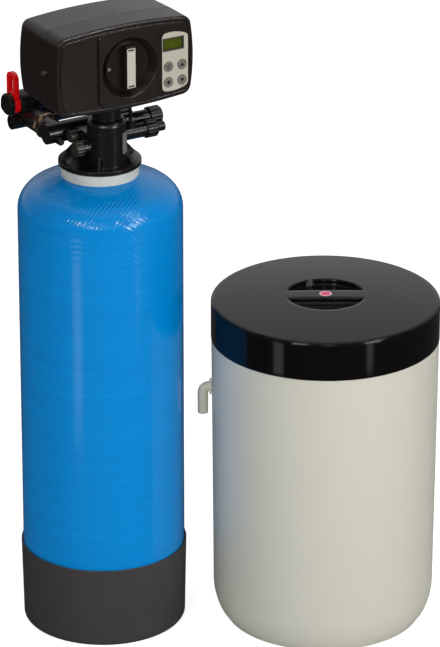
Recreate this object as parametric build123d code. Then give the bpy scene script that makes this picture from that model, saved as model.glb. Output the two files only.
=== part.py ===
from build123d import *
import math
import os

# Water softener: a blue resin vessel in a boot, a control valve with its
# power head and bypass, and a brine tank that stands beside it.
# Millimetres. +Z is up and the floor is Z 0. The origin is on the vessel's axis.
# The control head's front faces -Y and the house pipes leave along +Y.

# Sizes shared by every sub-part
overrun = 2.0
snug = 0.3
running = 0.05
edge_round = 1.0

# Pressure vessel
vessel_radius = 103.5
vessel_wall = 3.2
vessel_clear_floor = 8.0
dome_crown_radius = 186.3
dome_knuckle_radius = 35.2
seat_height = 621.4
neck_above_dome = 7.9
neck_radius = 40.0
neck_wall = 5.0
insert_outer_radius = 48.5
insert_cap = 2.5
insert_sleeve_wall = 2.6
insert_depth = 30.0

# Boot under the vessel
boot_wall = 2.5
boot_radius = vessel_radius + boot_wall
boot_foot_draw = 2.0
boot_foot_radius = boot_radius - boot_foot_draw
boot_height = 107.6
boot_floor = 4.0
boot_foot_round = 6.0
boot_rib_thickness = 3.0
boot_rib_count = 8
boot_rib_share = 0.9
boot_hub_radius = 18.0

# Riser, baskets and resin inside the vessel
riser_radius = 13.35
riser_wall = 2.0
basket_radius = 24.0
basket_height = 46.0
basket_wall = 2.4
basket_slot = 1.2
basket_lift = 2.4
basket_slot_count = 12
top_basket_radius = 22.0
top_basket_height = 34.0
resin_top = 430.0

# Valve body
flange_radius = 52.0
flange_thickness = 7.0
flange_rim_width = 4.0
flange_rim_drop = 1.6
spigot_length = 26.0
tower_y = -18.0
tower_radius = 24.6
tower_rise = 66.6
tower_top = seat_height + tower_rise
tower_shoulder = 9.0
tower_neck_radius = 18.0
tower_head_rise = 15.0
tower_head = tower_top + tower_head_rise
piston_bore_radius = 14.0
piston_bore_rise = 23.6
piston_bore_floor = seat_height + piston_bore_rise
throat_radius = 4.5
throat_y = -20.5
way_radius = 4.4
way_offset = 8.8
manifold_wall = 4.0
manifold_y = 30.0
manifold_rise = 38.6
manifold_height = seat_height + manifold_rise
manifold_radius = 13.0
manifold_half_length = 60.0
port_half_spacing = 45.0
port_radius = 12.7
manifold_bore_radius = 8.4
port_bore_radius = 9.0
port_end_y = 52.0
bridge_width = 44.0
gusset_thickness = 3.0
gusset_height = 42.0
gusset_count = 6

# Blank label plate on the tower
label_thickness = 0.8
label_rise = 22.1
label_tall = 27.5
label_low = seat_height + label_rise
label_high = label_low + label_tall
label_turn = -52.0
label_half_sweep = 14.0

# Side connections of the valve body
drain_y = 8.0
drain_rise = 44.6
drain_height = seat_height + drain_rise
drain_tube_radius = 9.25
drain_tube_end = 73.0
drain_bore_radius = 6.0
drain_nut_radius = 11.8
drain_nut_length = 17.0
drain_tail_radius = 8.0
drain_socket_radius = 6.35
drain_socket_length = 13.0
brine_y = -14.0
brine_rise = 37.6
brine_height = seat_height + brine_rise
brine_tube_end = 56.0
brine_tube_radius = 9.25
brine_bore_radius = 4.0
brine_nut_radius = 11.4
brine_nut_length = 16.0
brine_tail_radius = 6.2
brine_tail_end = 83.0
brine_tail_bore = 4.85
brine_socket_length = 18.0
injector_y = -14.0
injector_rise = 29.6
injector_height = seat_height + injector_rise
injector_boss_radius = 9.0
injector_boss_end = 33.0
injector_cap_radius = 10.0
injector_cap_length = 11.0
refill_y = 8.0
refill_rise = 38.6
refill_height = seat_height + refill_rise
refill_boss_radius = 6.8
refill_boss_end = 29.0
refill_cap_radius = 7.8
refill_cap_length = 10.0
nut_rib_count = 12
nut_rib_depth = 0.8

# Piston and seals
seal_wall = 4.0
seal_window_count = 3
piston_land_count = 3
piston_groove = 2.2
piston_length = 26.0
piston_above_floor = 12.0
rod_radius = 3.0
plug_thickness = 8.0
plug_head = 3.0
piston_travel = 10.5

# Rack on the piston rod and the pinion that drives it
rack_module = 1.25
rack_pinion_teeth = 12
rack_bar_width = 6.0
rack_bar_depth = 8.0
rack_bar_length = 64.0
rack_gap = 1.2

# Gear train and motor
gear_module = 1.5
gear_teeth = 48
motor_pinion_teeth = 12
gear_thickness = 6.0
gear_web = 3.0
gear_rim = 5.0
tooth_backlash = 0.5
tip_share = 0.8
root_share = 1.25
pressure_angle = 20.0
motor_direction = 200.0
motor_radius = 19.0
motor_length = 26.0
motor_shaft_radius = 2.5
drive_shaft_radius = 4.0
brine_cam_radius = 28.0
brine_cam_gap = 0.5
brine_cam_rise = 3.0
brine_cam_half_sweep = 30.0
brine_cam_width = 4.0

# Control head: covers with a crowned top and bottom
head_x = 5.0
head_rise = 61.0
head_height = tower_head + head_rise
head_half_width = 91.5
head_half_height = 50.0
head_crown = 5.5
head_bow = 5.0
head_side_bow = 5.0
head_corner = 13.0
head_front_y = -58.0
seam_y = -21.0
head_rear_y = 41.0
rear_draft = 2.0
cover_wall = 2.5
front_round = 3.0
rear_round = 5.0
seam_gap = 0.6
front_groove_inset = 5.0
front_groove_width = 1.6
front_groove_depth = 1.0
cover_mouth_half_width = 52.0
cover_mouth_rear = 24.0

# Front of the control head
centre_panel_left = -32.0
centre_panel_right = 50.5
centre_panel_proud = 1.5
centre_panel_corner = 12.0
centre_panel_margin = 6.5
left_groove_width = 2.4
dial_x = 10.7
dial_drop = 1.2
dial_height = head_height - dial_drop
well_rim_radius = 37.5
well_floor_radius = 32.0
well_depth = 9.0
well_floor = 2.5
dial_radius = 30.5
dial_thickness = 3.0
dial_rib_width = 15.0
dial_rib_length = 57.0
dial_rib_proud = 4.8
dial_rib_corner = 2.0
dial_hub_radius = 5.0
dial_pointer_length = 9.0
dial_pointer_width = 5.0
dial_pointer_rise = 1.2
strip_width = 11.5
strip_length = 51.0
strip_thickness = 0.8
strip_pocket = 0.5

# Keypad
keypad_x = 75.0
keypad_half_width = 18.2
keypad_half_height = 34.5
keypad_crown = 3.4
keypad_sink = 4.5
keypad_slant = 2.2
keypad_corner = 6.0
keypad_thickness = 1.4
keypad_pocket = 1.2
display_x_offset = -2.6
display_rise = 18.0
display_height = head_height + display_rise
display_width = 30.0
display_tall = 17.0
display_frame = 1.8
key_half_spacing = 9.6
key_top_drop = 10.7
key_row_spacing = 20.1
key_top_row = head_height - key_top_drop
key_bottom_row = key_top_row - key_row_spacing
key_radius = 5.4
key_flange = 0.6
key_flange_width = 0.8
key_proud = 0.8
key_travel = 0.8
board_thickness = 1.6
switch_size = 6.0
switch_tall = 2.4

# Back plate inside the head
plate_y = -3.0
plate_thickness = 3.0
plate_half_width = 66.0
plate_foot_thickness = 4.0
plate_foot_rear = 30.0
plate_foot_half_width = 46.0
plate_rise = 17.0
plate_tall = 83.0
plate_low = tower_head + plate_rise
plate_top = plate_low + plate_tall
plate_corner = 8.0
plate_web_height = 18.0
plate_post_offset = 50.0
plate_post_drop = 9.0
plate_post_height = plate_top - plate_post_drop
cover_post_inset_x = 10.5
cover_post_inset_z = 8.5
boss_radius = 4.0
cover_screw_radius = 1.8
cover_screw_head = 3.6
cover_screw_length = 9.0
side_screw_y = -27.0
gland_radius = 7.0
gland_length = 9.0
gland_x = 62.0
gland_drop = 34.0
gland_height = head_height - gland_drop

# Bypass behind the valve
union_length = 14.0
union_radius = 12.6
union_hex_radius = 16.5
union_hex_share = 0.5
bypass_tube_radius = 14.0
bypass_end_y = 136.0
bypass_spigot_radius = 13.2
bypass_spigot_length = 15.0
barrel_y = 106.0
barrel_rise = 18.0
barrel_height = manifold_height + barrel_rise
barrel_radius = 15.0
barrel_half_length = 59.5
rotor_radius = 10.0
rotor_depth = 25.0
cross_drop = 7.2
cross_height = manifold_height - cross_drop
cross_radius = 9.4
cross_half_length = 68.0
cross_recess_radius = 6.2
cross_recess_depth = 3.0
handle_hub_radius = 13.0
handle_hub_thickness = 8.4
handle_cap_radius = 14.0
handle_cap_thickness = 7.0
handle_loop_reach = 41.0
handle_loop_width = 22.0
handle_loop_bar = 5.2
handle_loop_thickness = 6.0

# Port clips and the manifold's screws
clip_thickness = 2.2
clip_length = 6.0
clip_gap_share = 0.7
screw_boss_radius = 4.6
screw_boss_front = 17.0
screw_boss_drop = 9.0
screw_boss_height = manifold_height - screw_boss_drop
screw_radius = 1.8
screw_depth = 4.0
screw_head_radius = 3.4
screw_head = 2.4

# Flow meter in the outlet port
turbine_radius = 7.4
turbine_blade_count = 6
turbine_length = 9.0
turbine_shaft_radius = 1.0
turbine_hub_radius = 2.6
turbine_blade_thickness = 0.9
cage_wall = 0.8
cage_length = 18.0
cage_spoke = 1.4

# Brine valve's stem beside the tower
brine_stem_radius = 2.0
brine_stem_x = 36.0
brine_boss_radius = 6.5
brine_boss_rise = 17.0
brine_boss_top = brine_height + brine_boss_rise
brine_stem_travel = 3.0
brine_collar_rise = 21.0
brine_collar_height = brine_boss_top + brine_collar_rise
brine_collar_radius = 5.0
brine_collar = 1.6
brine_arm_drop = 11.0
brine_arm_thickness = 4.0
brine_arm_width = 6.0

# Brine tank
tank_y = -134.0
tank_turn = -30.0
tank_radius_top = 144.2
tank_draft = 3.0
tank_radius_low = tank_radius_top - tank_draft
tank_side_gap = 0.9
tank_x = vessel_radius + tank_radius_top + tank_side_gap
tank_shoulder = 383.3
tank_foot_round = 78.0
tank_foot_top = 45.0
tank_foot_step = 9.0
tank_foot_inset = 0.7
tank_floor = 4.0
tank_wall = 3.0
tank_rim_height = 16.0
tank_rim_clear = 0.6

# Lid of the brine tank
lid_overhang = 0.6
lid_radius = tank_radius_top + lid_overhang
lid_rise = 50.4
lid_top = tank_shoulder + lid_rise
lid_crown = 6.0
crown_mid_share = 0.75
lid_wall = 3.0
lid_edge_round = 4.0
grip_radius = 50.0
grip_depth = 9.0
grip_bar_width = 23.0
grip_wall = 2.5
grip_corner = 3.0
dot_radius = 8.0
dot_thickness = 1.0

# Overflow and brine line fittings of the tank
overflow_port_drop = 70.3
overflow_height = tank_shoulder - overflow_port_drop
overflow_radius = 6.8
overflow_bore = 5.0
overflow_shank_radius = 8.0
overflow_reach = 11.2
overflow_drop = 36.0
overflow_collar_radius = 10.5
overflow_collar = 3.0
overflow_nut_radius = 13.0
overflow_nut_length = 6.0
nut_flat_count = 6
line_port_drop = 31.3
line_port_height = tank_shoulder - line_port_drop
line_port_radius = 4.85
line_grommet_waist = 7.5
line_grommet_lip = 2.0
line_grommet_length = 9.0

# Inside the brine tank; well_turn is the well's direction in the tank's own frame
well_turn = 150.0
well_radius = 42.0
well_gap = 8.2
well_offset = tank_radius_low - tank_wall - well_radius - well_gap
well_wall = 2.5
well_drop = 8.3
well_top = tank_shoulder - well_drop
well_cap_height = 12.0
well_slot = 3.0
well_slot_height = 40.0
grid_rise = 58.0
grid_height = tank_floor + grid_rise
grid_thickness = 5.0
grid_gap = 5.2
grid_radius = tank_radius_low - tank_wall - grid_gap
grid_hole_radius = 7.0
grid_ring_shares = (0.26, 0.54, 0.82)
grid_ring_counts = (6, 14, 22)
grid_leg_radius = 9.0
grid_leg_ring_share = 0.68
grid_leg_count = 4
float_offset = -12.0
float_radius = 23.0
float_height = 50.0
float_rise = 58.0
float_bottom = grid_height + float_rise
float_rod_radius = 3.0
float_collar_radius = 5.5
float_collar = 4.0
safety_offset = 19.0
safety_body_radius = 12.0
safety_body_length = 44.0
safety_body_drop = 76.0
safety_body_bottom = line_port_height - safety_body_drop
arm_width = 12.0
arm_thickness = 7.0
air_check_radius = 6.5
air_check_height = 24.0
pickup_radius = 4.5
pickup_rise = 14.0
pickup_bottom = grid_height + pickup_rise


def disc(radius, low, high, x=0, y=0):
    """An upright solid cylinder between two heights."""
    upright = (Align.CENTER, Align.CENTER, Align.MIN)
    return Pos(x, y, low) * Cylinder(radius, high - low, align=upright)


def rod_x(radius, start, end, y, z):
    """A cylinder along X from start to end."""
    middle = (start + end) / 2
    return Pos(middle, y, z) * Rot(0, 90, 0) * Cylinder(radius, abs(end - start))


def rod_y(radius, start, end, x, z):
    """A cylinder along Y from start to end."""
    middle = (start + end) / 2
    return Pos(x, middle, z) * Rot(90, 0, 0) * Cylinder(radius, abs(end - start))


def block(x_low, x_high, y_low, y_high, z_low, z_high):
    """A box given by its limits."""
    centre = Pos((x_low + x_high) / 2, (y_low + y_high) / 2, (z_low + z_high) / 2)
    return centre * Box(x_high - x_low, y_high - y_low, z_high - z_low)


def turned(outline, x=0, y=0):
    """A solid of revolution about an upright axis; the outline is in radius and height."""
    face = Plane.XZ * make_face(outline)
    return Pos(x, y, 0) * revolve(face, Axis.Z)


def ring(outer, inner, low, high, x=0, y=0):
    """An upright tube."""
    bore = disc(inner, low - overrun, high + overrun, x, y)
    return disc(outer, low, high, x, y) - bore


def facing_front(sketch, y, depth):
    """Extrude a sketch drawn in X and Z from the plane at y, towards the rear."""
    plane = Plane(origin=(0, y, 0), x_dir=(1, 0, 0), z_dir=(0, -1, 0))
    return extrude(plane * sketch, -depth)


def arc_between(centre, radius, start, end):
    """An arc of a profile about a centre, between two angles in degrees."""
    points = []
    for angle in (start, (start + end) / 2, end):
        turn = math.radians(angle)
        points.append((centre[0] + radius * math.cos(turn), centre[1] + radius * math.sin(turn)))
    return ThreePointArc(*points)


def as_one(shape):
    """The lone solid of a shape, or one compound of all its solids."""
    solids = shape.solids()
    if len(solids) == 1:
        return solids[0]
    return Compound(list(solids))


# Domes of the vessel

def dome_rise(radius, crown, knuckle):
    """Height of a dome with a crown arc and a knuckle arc."""
    reach = math.sqrt((crown - knuckle) ** 2 - (radius - knuckle) ** 2)
    return crown - reach


def dome_tangent(radius, crown, knuckle):
    """Angle, from the horizontal, at which the knuckle meets the crown."""
    reach = math.sqrt((crown - knuckle) ** 2 - (radius - knuckle) ** 2)
    return math.degrees(math.atan2(reach, radius - knuckle))


vessel_rise = dome_rise(vessel_radius, dome_crown_radius, dome_knuckle_radius)
vessel_top_equator = seat_height - neck_above_dome - vessel_rise
vessel_low_equator = vessel_clear_floor + vessel_rise


def crown_height(at_radius, grow=0):
    """Height of the top dome's surface, or one grown outwards, at a radius."""
    centre = vessel_top_equator + vessel_rise - dome_crown_radius
    crown = dome_crown_radius + grow
    return centre + math.sqrt(crown ** 2 - at_radius ** 2)


def dome_arcs(grow, upper, inner_radius):
    """Crown and knuckle arcs of a dome, from the inner radius out to the side."""
    radius = vessel_radius + grow
    crown = dome_crown_radius + grow
    knuckle = dome_knuckle_radius + grow
    equator = vessel_top_equator if upper else vessel_low_equator
    side = 1 if upper else -1
    rise = dome_rise(radius, crown, knuckle)
    tangent = dome_tangent(radius, crown, knuckle)
    crown_centre = (0, equator + side * (rise - crown))
    knuckle_centre = (radius - knuckle, equator)
    start = math.degrees(math.acos(inner_radius / crown))
    crown_arc = arc_between(crown_centre, crown, side * start, side * tangent)
    knuckle_arc = arc_between(knuckle_centre, knuckle, side * tangent, 0)
    return crown_arc, knuckle_arc


def build_pressure_vessel():
    outer_low_crown, outer_low_knuckle = dome_arcs(0, False, 0)
    outer_top_crown, outer_top_knuckle = dome_arcs(0, True, neck_radius)
    inner_low_crown, inner_low_knuckle = dome_arcs(-vessel_wall, False, 0)
    mouth = neck_radius - neck_wall
    inner_top_crown, inner_top_knuckle = dome_arcs(-vessel_wall, True, mouth)
    neck_end = seat_height - insert_cap
    inner_radius = vessel_radius - vessel_wall
    neck = Polyline(outer_top_crown @ 0, (neck_radius, neck_end), (mouth, neck_end), inner_top_crown @ 0)
    outline = [
        outer_low_crown,
        outer_low_knuckle,
        Line((vessel_radius, vessel_low_equator), (vessel_radius, vessel_top_equator)),
        outer_top_knuckle,
        outer_top_crown,
        neck,
        inner_top_crown,
        inner_top_knuckle,
        Line((inner_radius, vessel_top_equator), (inner_radius, vessel_low_equator)),
        inner_low_knuckle,
        inner_low_crown,
        Line((0, vessel_clear_floor), (0, vessel_clear_floor + vessel_wall)),
    ]
    return turned(outline)


def build_neck_insert():
    """Cream moulding that lines and caps the vessel's neck."""
    skirt_inner = neck_radius + snug
    sleeve_outer = neck_radius - neck_wall - snug
    sleeve_inner = sleeve_outer - insert_sleeve_wall
    under_cap = seat_height - insert_cap
    outline = Polyline(
        (sleeve_inner, seat_height),
        (insert_outer_radius, seat_height),
        (insert_outer_radius, crown_height(insert_outer_radius, snug)),
        (skirt_inner, crown_height(skirt_inner, snug)),
        (skirt_inner, under_cap),
        (sleeve_outer, under_cap),
        (sleeve_outer, under_cap - insert_depth),
        (sleeve_inner, under_cap - insert_depth),
        (sleeve_inner, seat_height),
    )
    return turned(outline)


def build_boot():
    inner = vessel_radius + snug
    foot = boot_foot_radius
    lip = (boot_radius - inner) / 2
    foot_arc = arc_between((foot - boot_foot_round, boot_foot_round), boot_foot_round, -90, 0)
    lip_arc = arc_between((inner + lip, boot_height - lip), lip, 0, 180)
    outline = [
        Line((0, 0), (foot - boot_foot_round, 0)),
        foot_arc,
        Line((foot, boot_foot_round), (boot_radius, boot_height - lip)),
        lip_arc,
        Polyline(
            (inner, boot_height - lip),
            (inner, vessel_low_equator * boot_rib_share),
            (foot - boot_foot_round - boot_floor, boot_floor),
            (0, boot_floor),
            (0, 0),
        ),
    ]
    shell = turned(outline)
    in_floor = boot_floor / 2
    rib_top = vessel_low_equator * boot_rib_share
    hub = ring(boot_hub_radius, boot_hub_radius - boot_rib_thickness, in_floor, rib_top)
    ribs = hub
    for index in range(boot_rib_count):
        rib = block(
            boot_hub_radius - boot_rib_thickness / 2,
            foot - boot_foot_round,
            -boot_rib_thickness / 2,
            boot_rib_thickness / 2,
            in_floor,
            rib_top,
        )
        ribs = ribs + Rot(0, 0, 360 * index / boot_rib_count) * rib
    low_crown, low_knuckle = dome_arcs(snug, False, 0)
    grown = vessel_radius + snug
    high = vessel_low_equator + overrun
    room = turned([
        low_crown,
        low_knuckle,
        Polyline((grown, vessel_low_equator), (grown, high), (0, high), low_crown @ 0),
    ])
    return shell + (ribs - room)


# Inside the vessel

basket_bottom = vessel_clear_floor + vessel_wall + basket_lift
riser_bottom = basket_bottom + basket_height
insert_bore = neck_radius - neck_wall - snug - insert_sleeve_wall
spigot_radius = insert_bore - snug
spigot_bottom = seat_height - spigot_length
riser_top = seat_height + flange_thickness + riser_wall
socket_radius = riser_radius + snug


def build_riser_tube():
    return ring(riser_radius, riser_radius - riser_wall, riser_bottom - basket_wall, riser_top)


def slotted(shell, count, low, high, reach, slot):
    """Cut upright slots round a strainer."""
    for index in range(count):
        cut = block(0, reach + overrun, -slot / 2, slot / 2, low, high)
        turn = 360 * (index + 1 / 2) / count
        shell = shell - Rot(0, 0, turn) * cut
    return shell


def build_bottom_basket():
    socket = riser_radius + snug + basket_wall
    inner = basket_radius - basket_wall
    bottom = basket_bottom + basket_wall
    shoulder = riser_bottom - basket_height / 3
    outline = Polyline(
        (0, basket_bottom),
        (inner, basket_bottom),
        (basket_radius, bottom),
        (basket_radius, shoulder),
        (socket, riser_bottom),
        (riser_radius + snug, riser_bottom),
        (riser_radius + snug, shoulder),
        (inner, shoulder - basket_wall),
        (inner, bottom),
        (0, bottom),
        (0, basket_bottom),
    )
    shell = turned(outline)
    low = bottom + basket_wall
    high = shoulder - 2 * basket_wall
    strainer = slotted(shell, basket_slot_count, low, high, basket_radius, basket_slot)
    seat = ring(riser_radius + snug, riser_radius - riser_wall, shoulder - basket_wall,
                riser_bottom - 2 * basket_wall)
    return strainer + seat


def build_top_basket():
    """Upper strainer that hangs under the valve's spigot, round the riser."""
    top = spigot_bottom
    low = top - top_basket_height
    inner = riser_radius + snug
    taper = inner + basket_wall
    outline = Polyline(
        (inner, low),
        (taper, low),
        (top_basket_radius, low + top_basket_height / 2),
        (top_basket_radius, top),
        (top_basket_radius - basket_wall, top),
        (top_basket_radius - basket_wall, low + top_basket_height / 2),
        (inner, low + basket_wall),
        (inner, low),
    )
    shell = turned(outline)
    return slotted(
        shell, basket_slot_count, low + top_basket_height / 2, top - basket_wall, top_basket_radius,
        basket_slot
    )


def build_resin_bed():
    """The ion-exchange resin as one loose fill."""
    low_crown, low_knuckle = dome_arcs(-vessel_wall - snug, False, 0)
    side = vessel_radius - vessel_wall - snug
    fill = turned([
        low_crown,
        low_knuckle,
        Polyline((side, vessel_low_equator), (side, resin_top), (0, resin_top), low_crown @ 0),
    ])
    around_basket = disc(basket_radius + snug, 0, riser_bottom + snug)
    around_riser = disc(riser_radius + snug, 0, resin_top + overrun)
    return fill - around_basket - around_riser


# Valve body

flange_top = seat_height + flange_thickness
bridge_low = flange_top - overrun


def build_gussets():
    """Upright triangular webs between the flange and the tower."""
    webs = None
    reach = flange_radius - flange_rim_width
    for index in range(gusset_count):
        angle = 360 * (index + 1 / 2) / gusset_count - 90
        web = Polyline(
            (0, flange_top - overrun / 2),
            (reach, flange_top - overrun / 2),
            (reach, flange_top + gusset_thickness / 2),
            (tower_radius / 2, flange_top + gusset_height),
            (0, flange_top + gusset_height),
            (0, flange_top - overrun / 2),
        )
        face = Plane.XZ * make_face(web)
        solid = Pos(0, gusset_thickness / 2, 0) * extrude(face, gusset_thickness)
        turned_web = Rot(0, 0, angle) * solid
        webs = turned_web if webs is None else webs + turned_web
    return webs


def build_valve_body():
    rim = flange_rim_width
    flange_outline = Polyline(
        (0, seat_height),
        (flange_radius - edge_round, seat_height),
        (flange_radius, seat_height + edge_round),
        (flange_radius, flange_top - flange_rim_drop),
        (flange_radius - edge_round, flange_top - flange_rim_drop + edge_round),
        (flange_radius - rim, flange_top - flange_rim_drop + edge_round),
        (flange_radius - rim - edge_round, flange_top),
        (0, flange_top),
        (0, seat_height),
    )
    flange = turned(flange_outline)
    spigot = disc(spigot_radius, spigot_bottom, seat_height + edge_round)
    tower = disc(tower_radius, seat_height + edge_round, tower_top, 0, tower_y)
    shoulder_edges = tower.edges().group_by(Axis.Z)[-1]
    tower = fillet(shoulder_edges, tower_shoulder)
    neck = disc(tower_neck_radius, tower_top - overrun, tower_head, 0, tower_y)
    base = disc(socket_radius + seal_wall, flange_top - overrun, flange_top + gusset_height / 2)
    manifold = rod_x(manifold_radius, -manifold_half_length, manifold_half_length, manifold_y,
                     manifold_height)
    body = flange + spigot + tower + neck + base + manifold
    bridge = block(
        -bridge_width / 2,
        bridge_width / 2,
        tower_y,
        manifold_y,
        bridge_low,
        manifold_height + manifold_radius / 2,
    )
    body = body + bridge + build_gussets()
    body = body + rod_x(drain_tube_radius, 0, drain_tube_end, drain_y, drain_height)
    body = body + rod_x(brine_tube_radius, 0, brine_tube_end, brine_y, brine_height)
    body = body + rod_x(injector_boss_radius, -injector_boss_end, 0, injector_y, injector_height)
    body = body + rod_x(refill_boss_radius, -refill_boss_end, 0, refill_y, refill_height)
    for side in (-1, 1):
        port = rod_y(port_radius, manifold_y, port_end_y, side * port_half_spacing, manifold_height)
        body = body + port
    body = body + disc(brine_boss_radius, brine_height, brine_boss_top, brine_stem_x, brine_y)
    # Water ways
    body = body - disc(piston_bore_radius, piston_bore_floor, tower_head + overrun, 0, tower_y)
    body = body - disc(throat_radius, spigot_bottom - overrun, piston_bore_floor + overrun, 0, throat_y)
    body = body - disc(socket_radius, spigot_bottom - overrun, riser_top + snug)
    body = body - rod_x(drain_bore_radius, drain_tube_end - piston_bore_radius, drain_tube_end + overrun,
                        drain_y, drain_height)
    body = body - rod_x(brine_bore_radius, tower_radius, brine_tube_end + overrun, brine_y, brine_height)
    for side in (-1, 1):
        body = body - rod_y(port_bore_radius, manifold_y, port_end_y + overrun, side * port_half_spacing,
                            manifold_height)
        body = body - rod_x(manifold_bore_radius, side * manifold_wall, side * port_half_spacing, manifold_y,
                            manifold_height)
        body = body - rod_y(way_radius, tower_y, manifold_y, side * way_offset, manifold_height)
    for side in (-1, 1):
        boss = rod_y(screw_boss_radius, screw_boss_front, manifold_y, side * port_half_spacing,
                     screw_boss_height)
        hole = rod_y(screw_radius, screw_boss_front - overrun, screw_boss_front + screw_depth,
                     side * port_half_spacing, screw_boss_height)
        way = rod_y(port_bore_radius, manifold_y, port_end_y + overrun, side * port_half_spacing,
                    manifold_height)
        cross = rod_x(manifold_bore_radius, side * manifold_wall, side * port_half_spacing, manifold_y,
                      manifold_height)
        body = body + (boss - way - cross) - hole
    body = body - disc(brine_stem_radius + running, brine_height, brine_boss_top + overrun, brine_stem_x,
                       brine_y)
    return body


def build_body_label():
    """Blank curved plate on the tower's front."""
    inner = tower_radius + running
    band = ring(inner + label_thickness, inner, label_low, label_high)
    half = math.radians(label_half_sweep)
    far = 2 * tower_radius
    wedge = make_face(Polyline((0, 0), (far * math.cos(half), -far * math.sin(half)),
                               (far * math.cos(half), far * math.sin(half)), (0, 0)))
    keep_part = Pos(0, 0, label_low - overrun) * extrude(wedge, label_high - label_low + 2 * overrun)
    return Pos(0, tower_y, 0) * Rot(0, 0, label_turn) * (band & keep_part)


# Ribbed nuts and plugs on the valve's sides

def ribbed(radius, length, ribs, depth):
    """A round grip along Z from 0, with shallow flutes and a bevelled outer end."""
    upright = (Align.CENTER, Align.CENTER, Align.MIN)
    body = Cylinder(radius, length, align=upright)
    body = chamfer(body.edges().group_by(Axis.Z)[-1], radius / 6)
    flute_radius = math.pi * radius / ribs / 2
    for index in range(ribs):
        turn = math.radians(360 * index / ribs)
        distance = radius + flute_radius - depth
        flute = disc(flute_radius, -overrun, length + overrun, distance * math.cos(turn),
                     distance * math.sin(turn))
        body = body - flute
    return body


def on_side(shape, start, y, z, side):
    """Turn a shape built up along Z so that it runs along X from start, on one side."""
    return Pos(start, y, z) * Rot(0, 90 * side, 0) * shape


def build_drain_nut():
    grip = ribbed(drain_nut_radius, drain_nut_length, nut_rib_count, nut_rib_depth)
    bore = disc(drain_tail_radius + snug, -overrun, drain_nut_length + overrun)
    return on_side(grip - bore, drain_tube_end + snug / 3, drain_y, drain_height, 1)


def build_drain_tail():
    """The drain's flow control and hose tail, held by the nut."""
    end = drain_tube_end + drain_nut_length
    tail = rod_x(drain_tail_radius, drain_tube_end + snug / 3, end, drain_y, drain_height)
    plug = rod_x(drain_bore_radius - snug, drain_tube_end - drain_bore_radius, end, drain_y, drain_height)
    way = rod_x(drain_bore_radius / 2, 0, end + overrun, drain_y, drain_height)
    socket = rod_x(drain_socket_radius, end - drain_socket_length, end + overrun, drain_y, drain_height)
    return tail + plug - way - socket


def build_brine_nut():
    grip = ribbed(brine_nut_radius, brine_nut_length, nut_rib_count, nut_rib_depth)
    bore = disc(brine_tail_radius + snug, -overrun, brine_nut_length + overrun)
    return on_side(grip - bore, brine_tube_end + snug / 3, brine_y, brine_height, 1)


def build_brine_tail():
    """Push-in socket for the brine line."""
    start = brine_tube_end + snug / 3
    tail = rod_x(brine_tail_radius, start, brine_tail_end, brine_y, brine_height)
    plug = rod_x(brine_bore_radius - snug, start - 2 * brine_bore_radius, start + overrun, brine_y,
                 brine_height)
    socket = rod_x(brine_tail_bore, brine_tail_end - brine_socket_length, brine_tail_end + overrun,
                   brine_y, brine_height)
    way = rod_x(brine_bore_radius / 2, 0, brine_tail_end, brine_y, brine_height)
    return tail + plug - socket - way


def build_injector_cap():
    grip = ribbed(injector_cap_radius, injector_cap_length, nut_rib_count, nut_rib_depth)
    return on_side(grip, -injector_boss_end - snug / 3, injector_y, injector_height, -1)


def build_refill_cap():
    grip = ribbed(refill_cap_radius, refill_cap_length, nut_rib_count, nut_rib_depth)
    return on_side(grip, -refill_boss_end - snug / 3, refill_y, refill_height, -1)


# Piston, seals and plug in the tower

piston_radius = piston_bore_radius - seal_wall - running
piston_low = piston_bore_floor + piston_above_floor
plug_low = tower_head - plug_thickness


def build_seal_stack():
    """Spacers and seals as one sleeve with windows, inside the tower's bore."""
    outer = piston_bore_radius - snug / 3
    inner = piston_bore_radius - seal_wall
    sleeve = ring(outer, inner, piston_bore_floor, plug_low)
    span = plug_low - piston_bore_floor
    for index in range(seal_window_count):
        centre = piston_bore_floor + span * (index + 1 / 2) / seal_window_count
        low = centre - seal_wall / 2
        high = centre + seal_wall / 2
        reach = piston_bore_radius + overrun
        for turn in (0, 90):
            window = block(-reach, reach, -seal_wall / 2, seal_wall / 2, low, high)
            sleeve = sleeve - Rot(0, 0, turn) * window
    return Pos(0, tower_y, 0) * sleeve


def build_piston():
    """Piston with its lands, on the rod that leaves the tower through the plug."""
    high = piston_low + piston_length
    body = disc(piston_radius, piston_low, high, 0, tower_y)
    pitch = piston_length / piston_land_count
    for index in range(piston_land_count - 1):
        centre = piston_low + pitch * (index + 1)
        groove = ring(piston_radius + overrun, piston_radius - piston_groove, centre - piston_groove,
                      centre + piston_groove, 0, tower_y)
        body = body - groove
    body = body + disc(rod_radius, high - overrun, rack_low + overrun, 0, tower_y)
    return body


def build_piston_plug():
    """Screw-in plug that closes the tower and guides the rod."""
    plug = disc(piston_bore_radius - snug, plug_low, tower_head + overrun / 2, 0, tower_y)
    head = disc(tower_neck_radius - edge_round, tower_head, tower_head + plug_head, 0, tower_y)
    hole = disc(rod_radius + running, plug_low - overrun, tower_head + plug_head + overrun, 0, tower_y)
    return plug + head - hole


# Teeth

def involute(angle):
    return math.tan(angle) - angle


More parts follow.
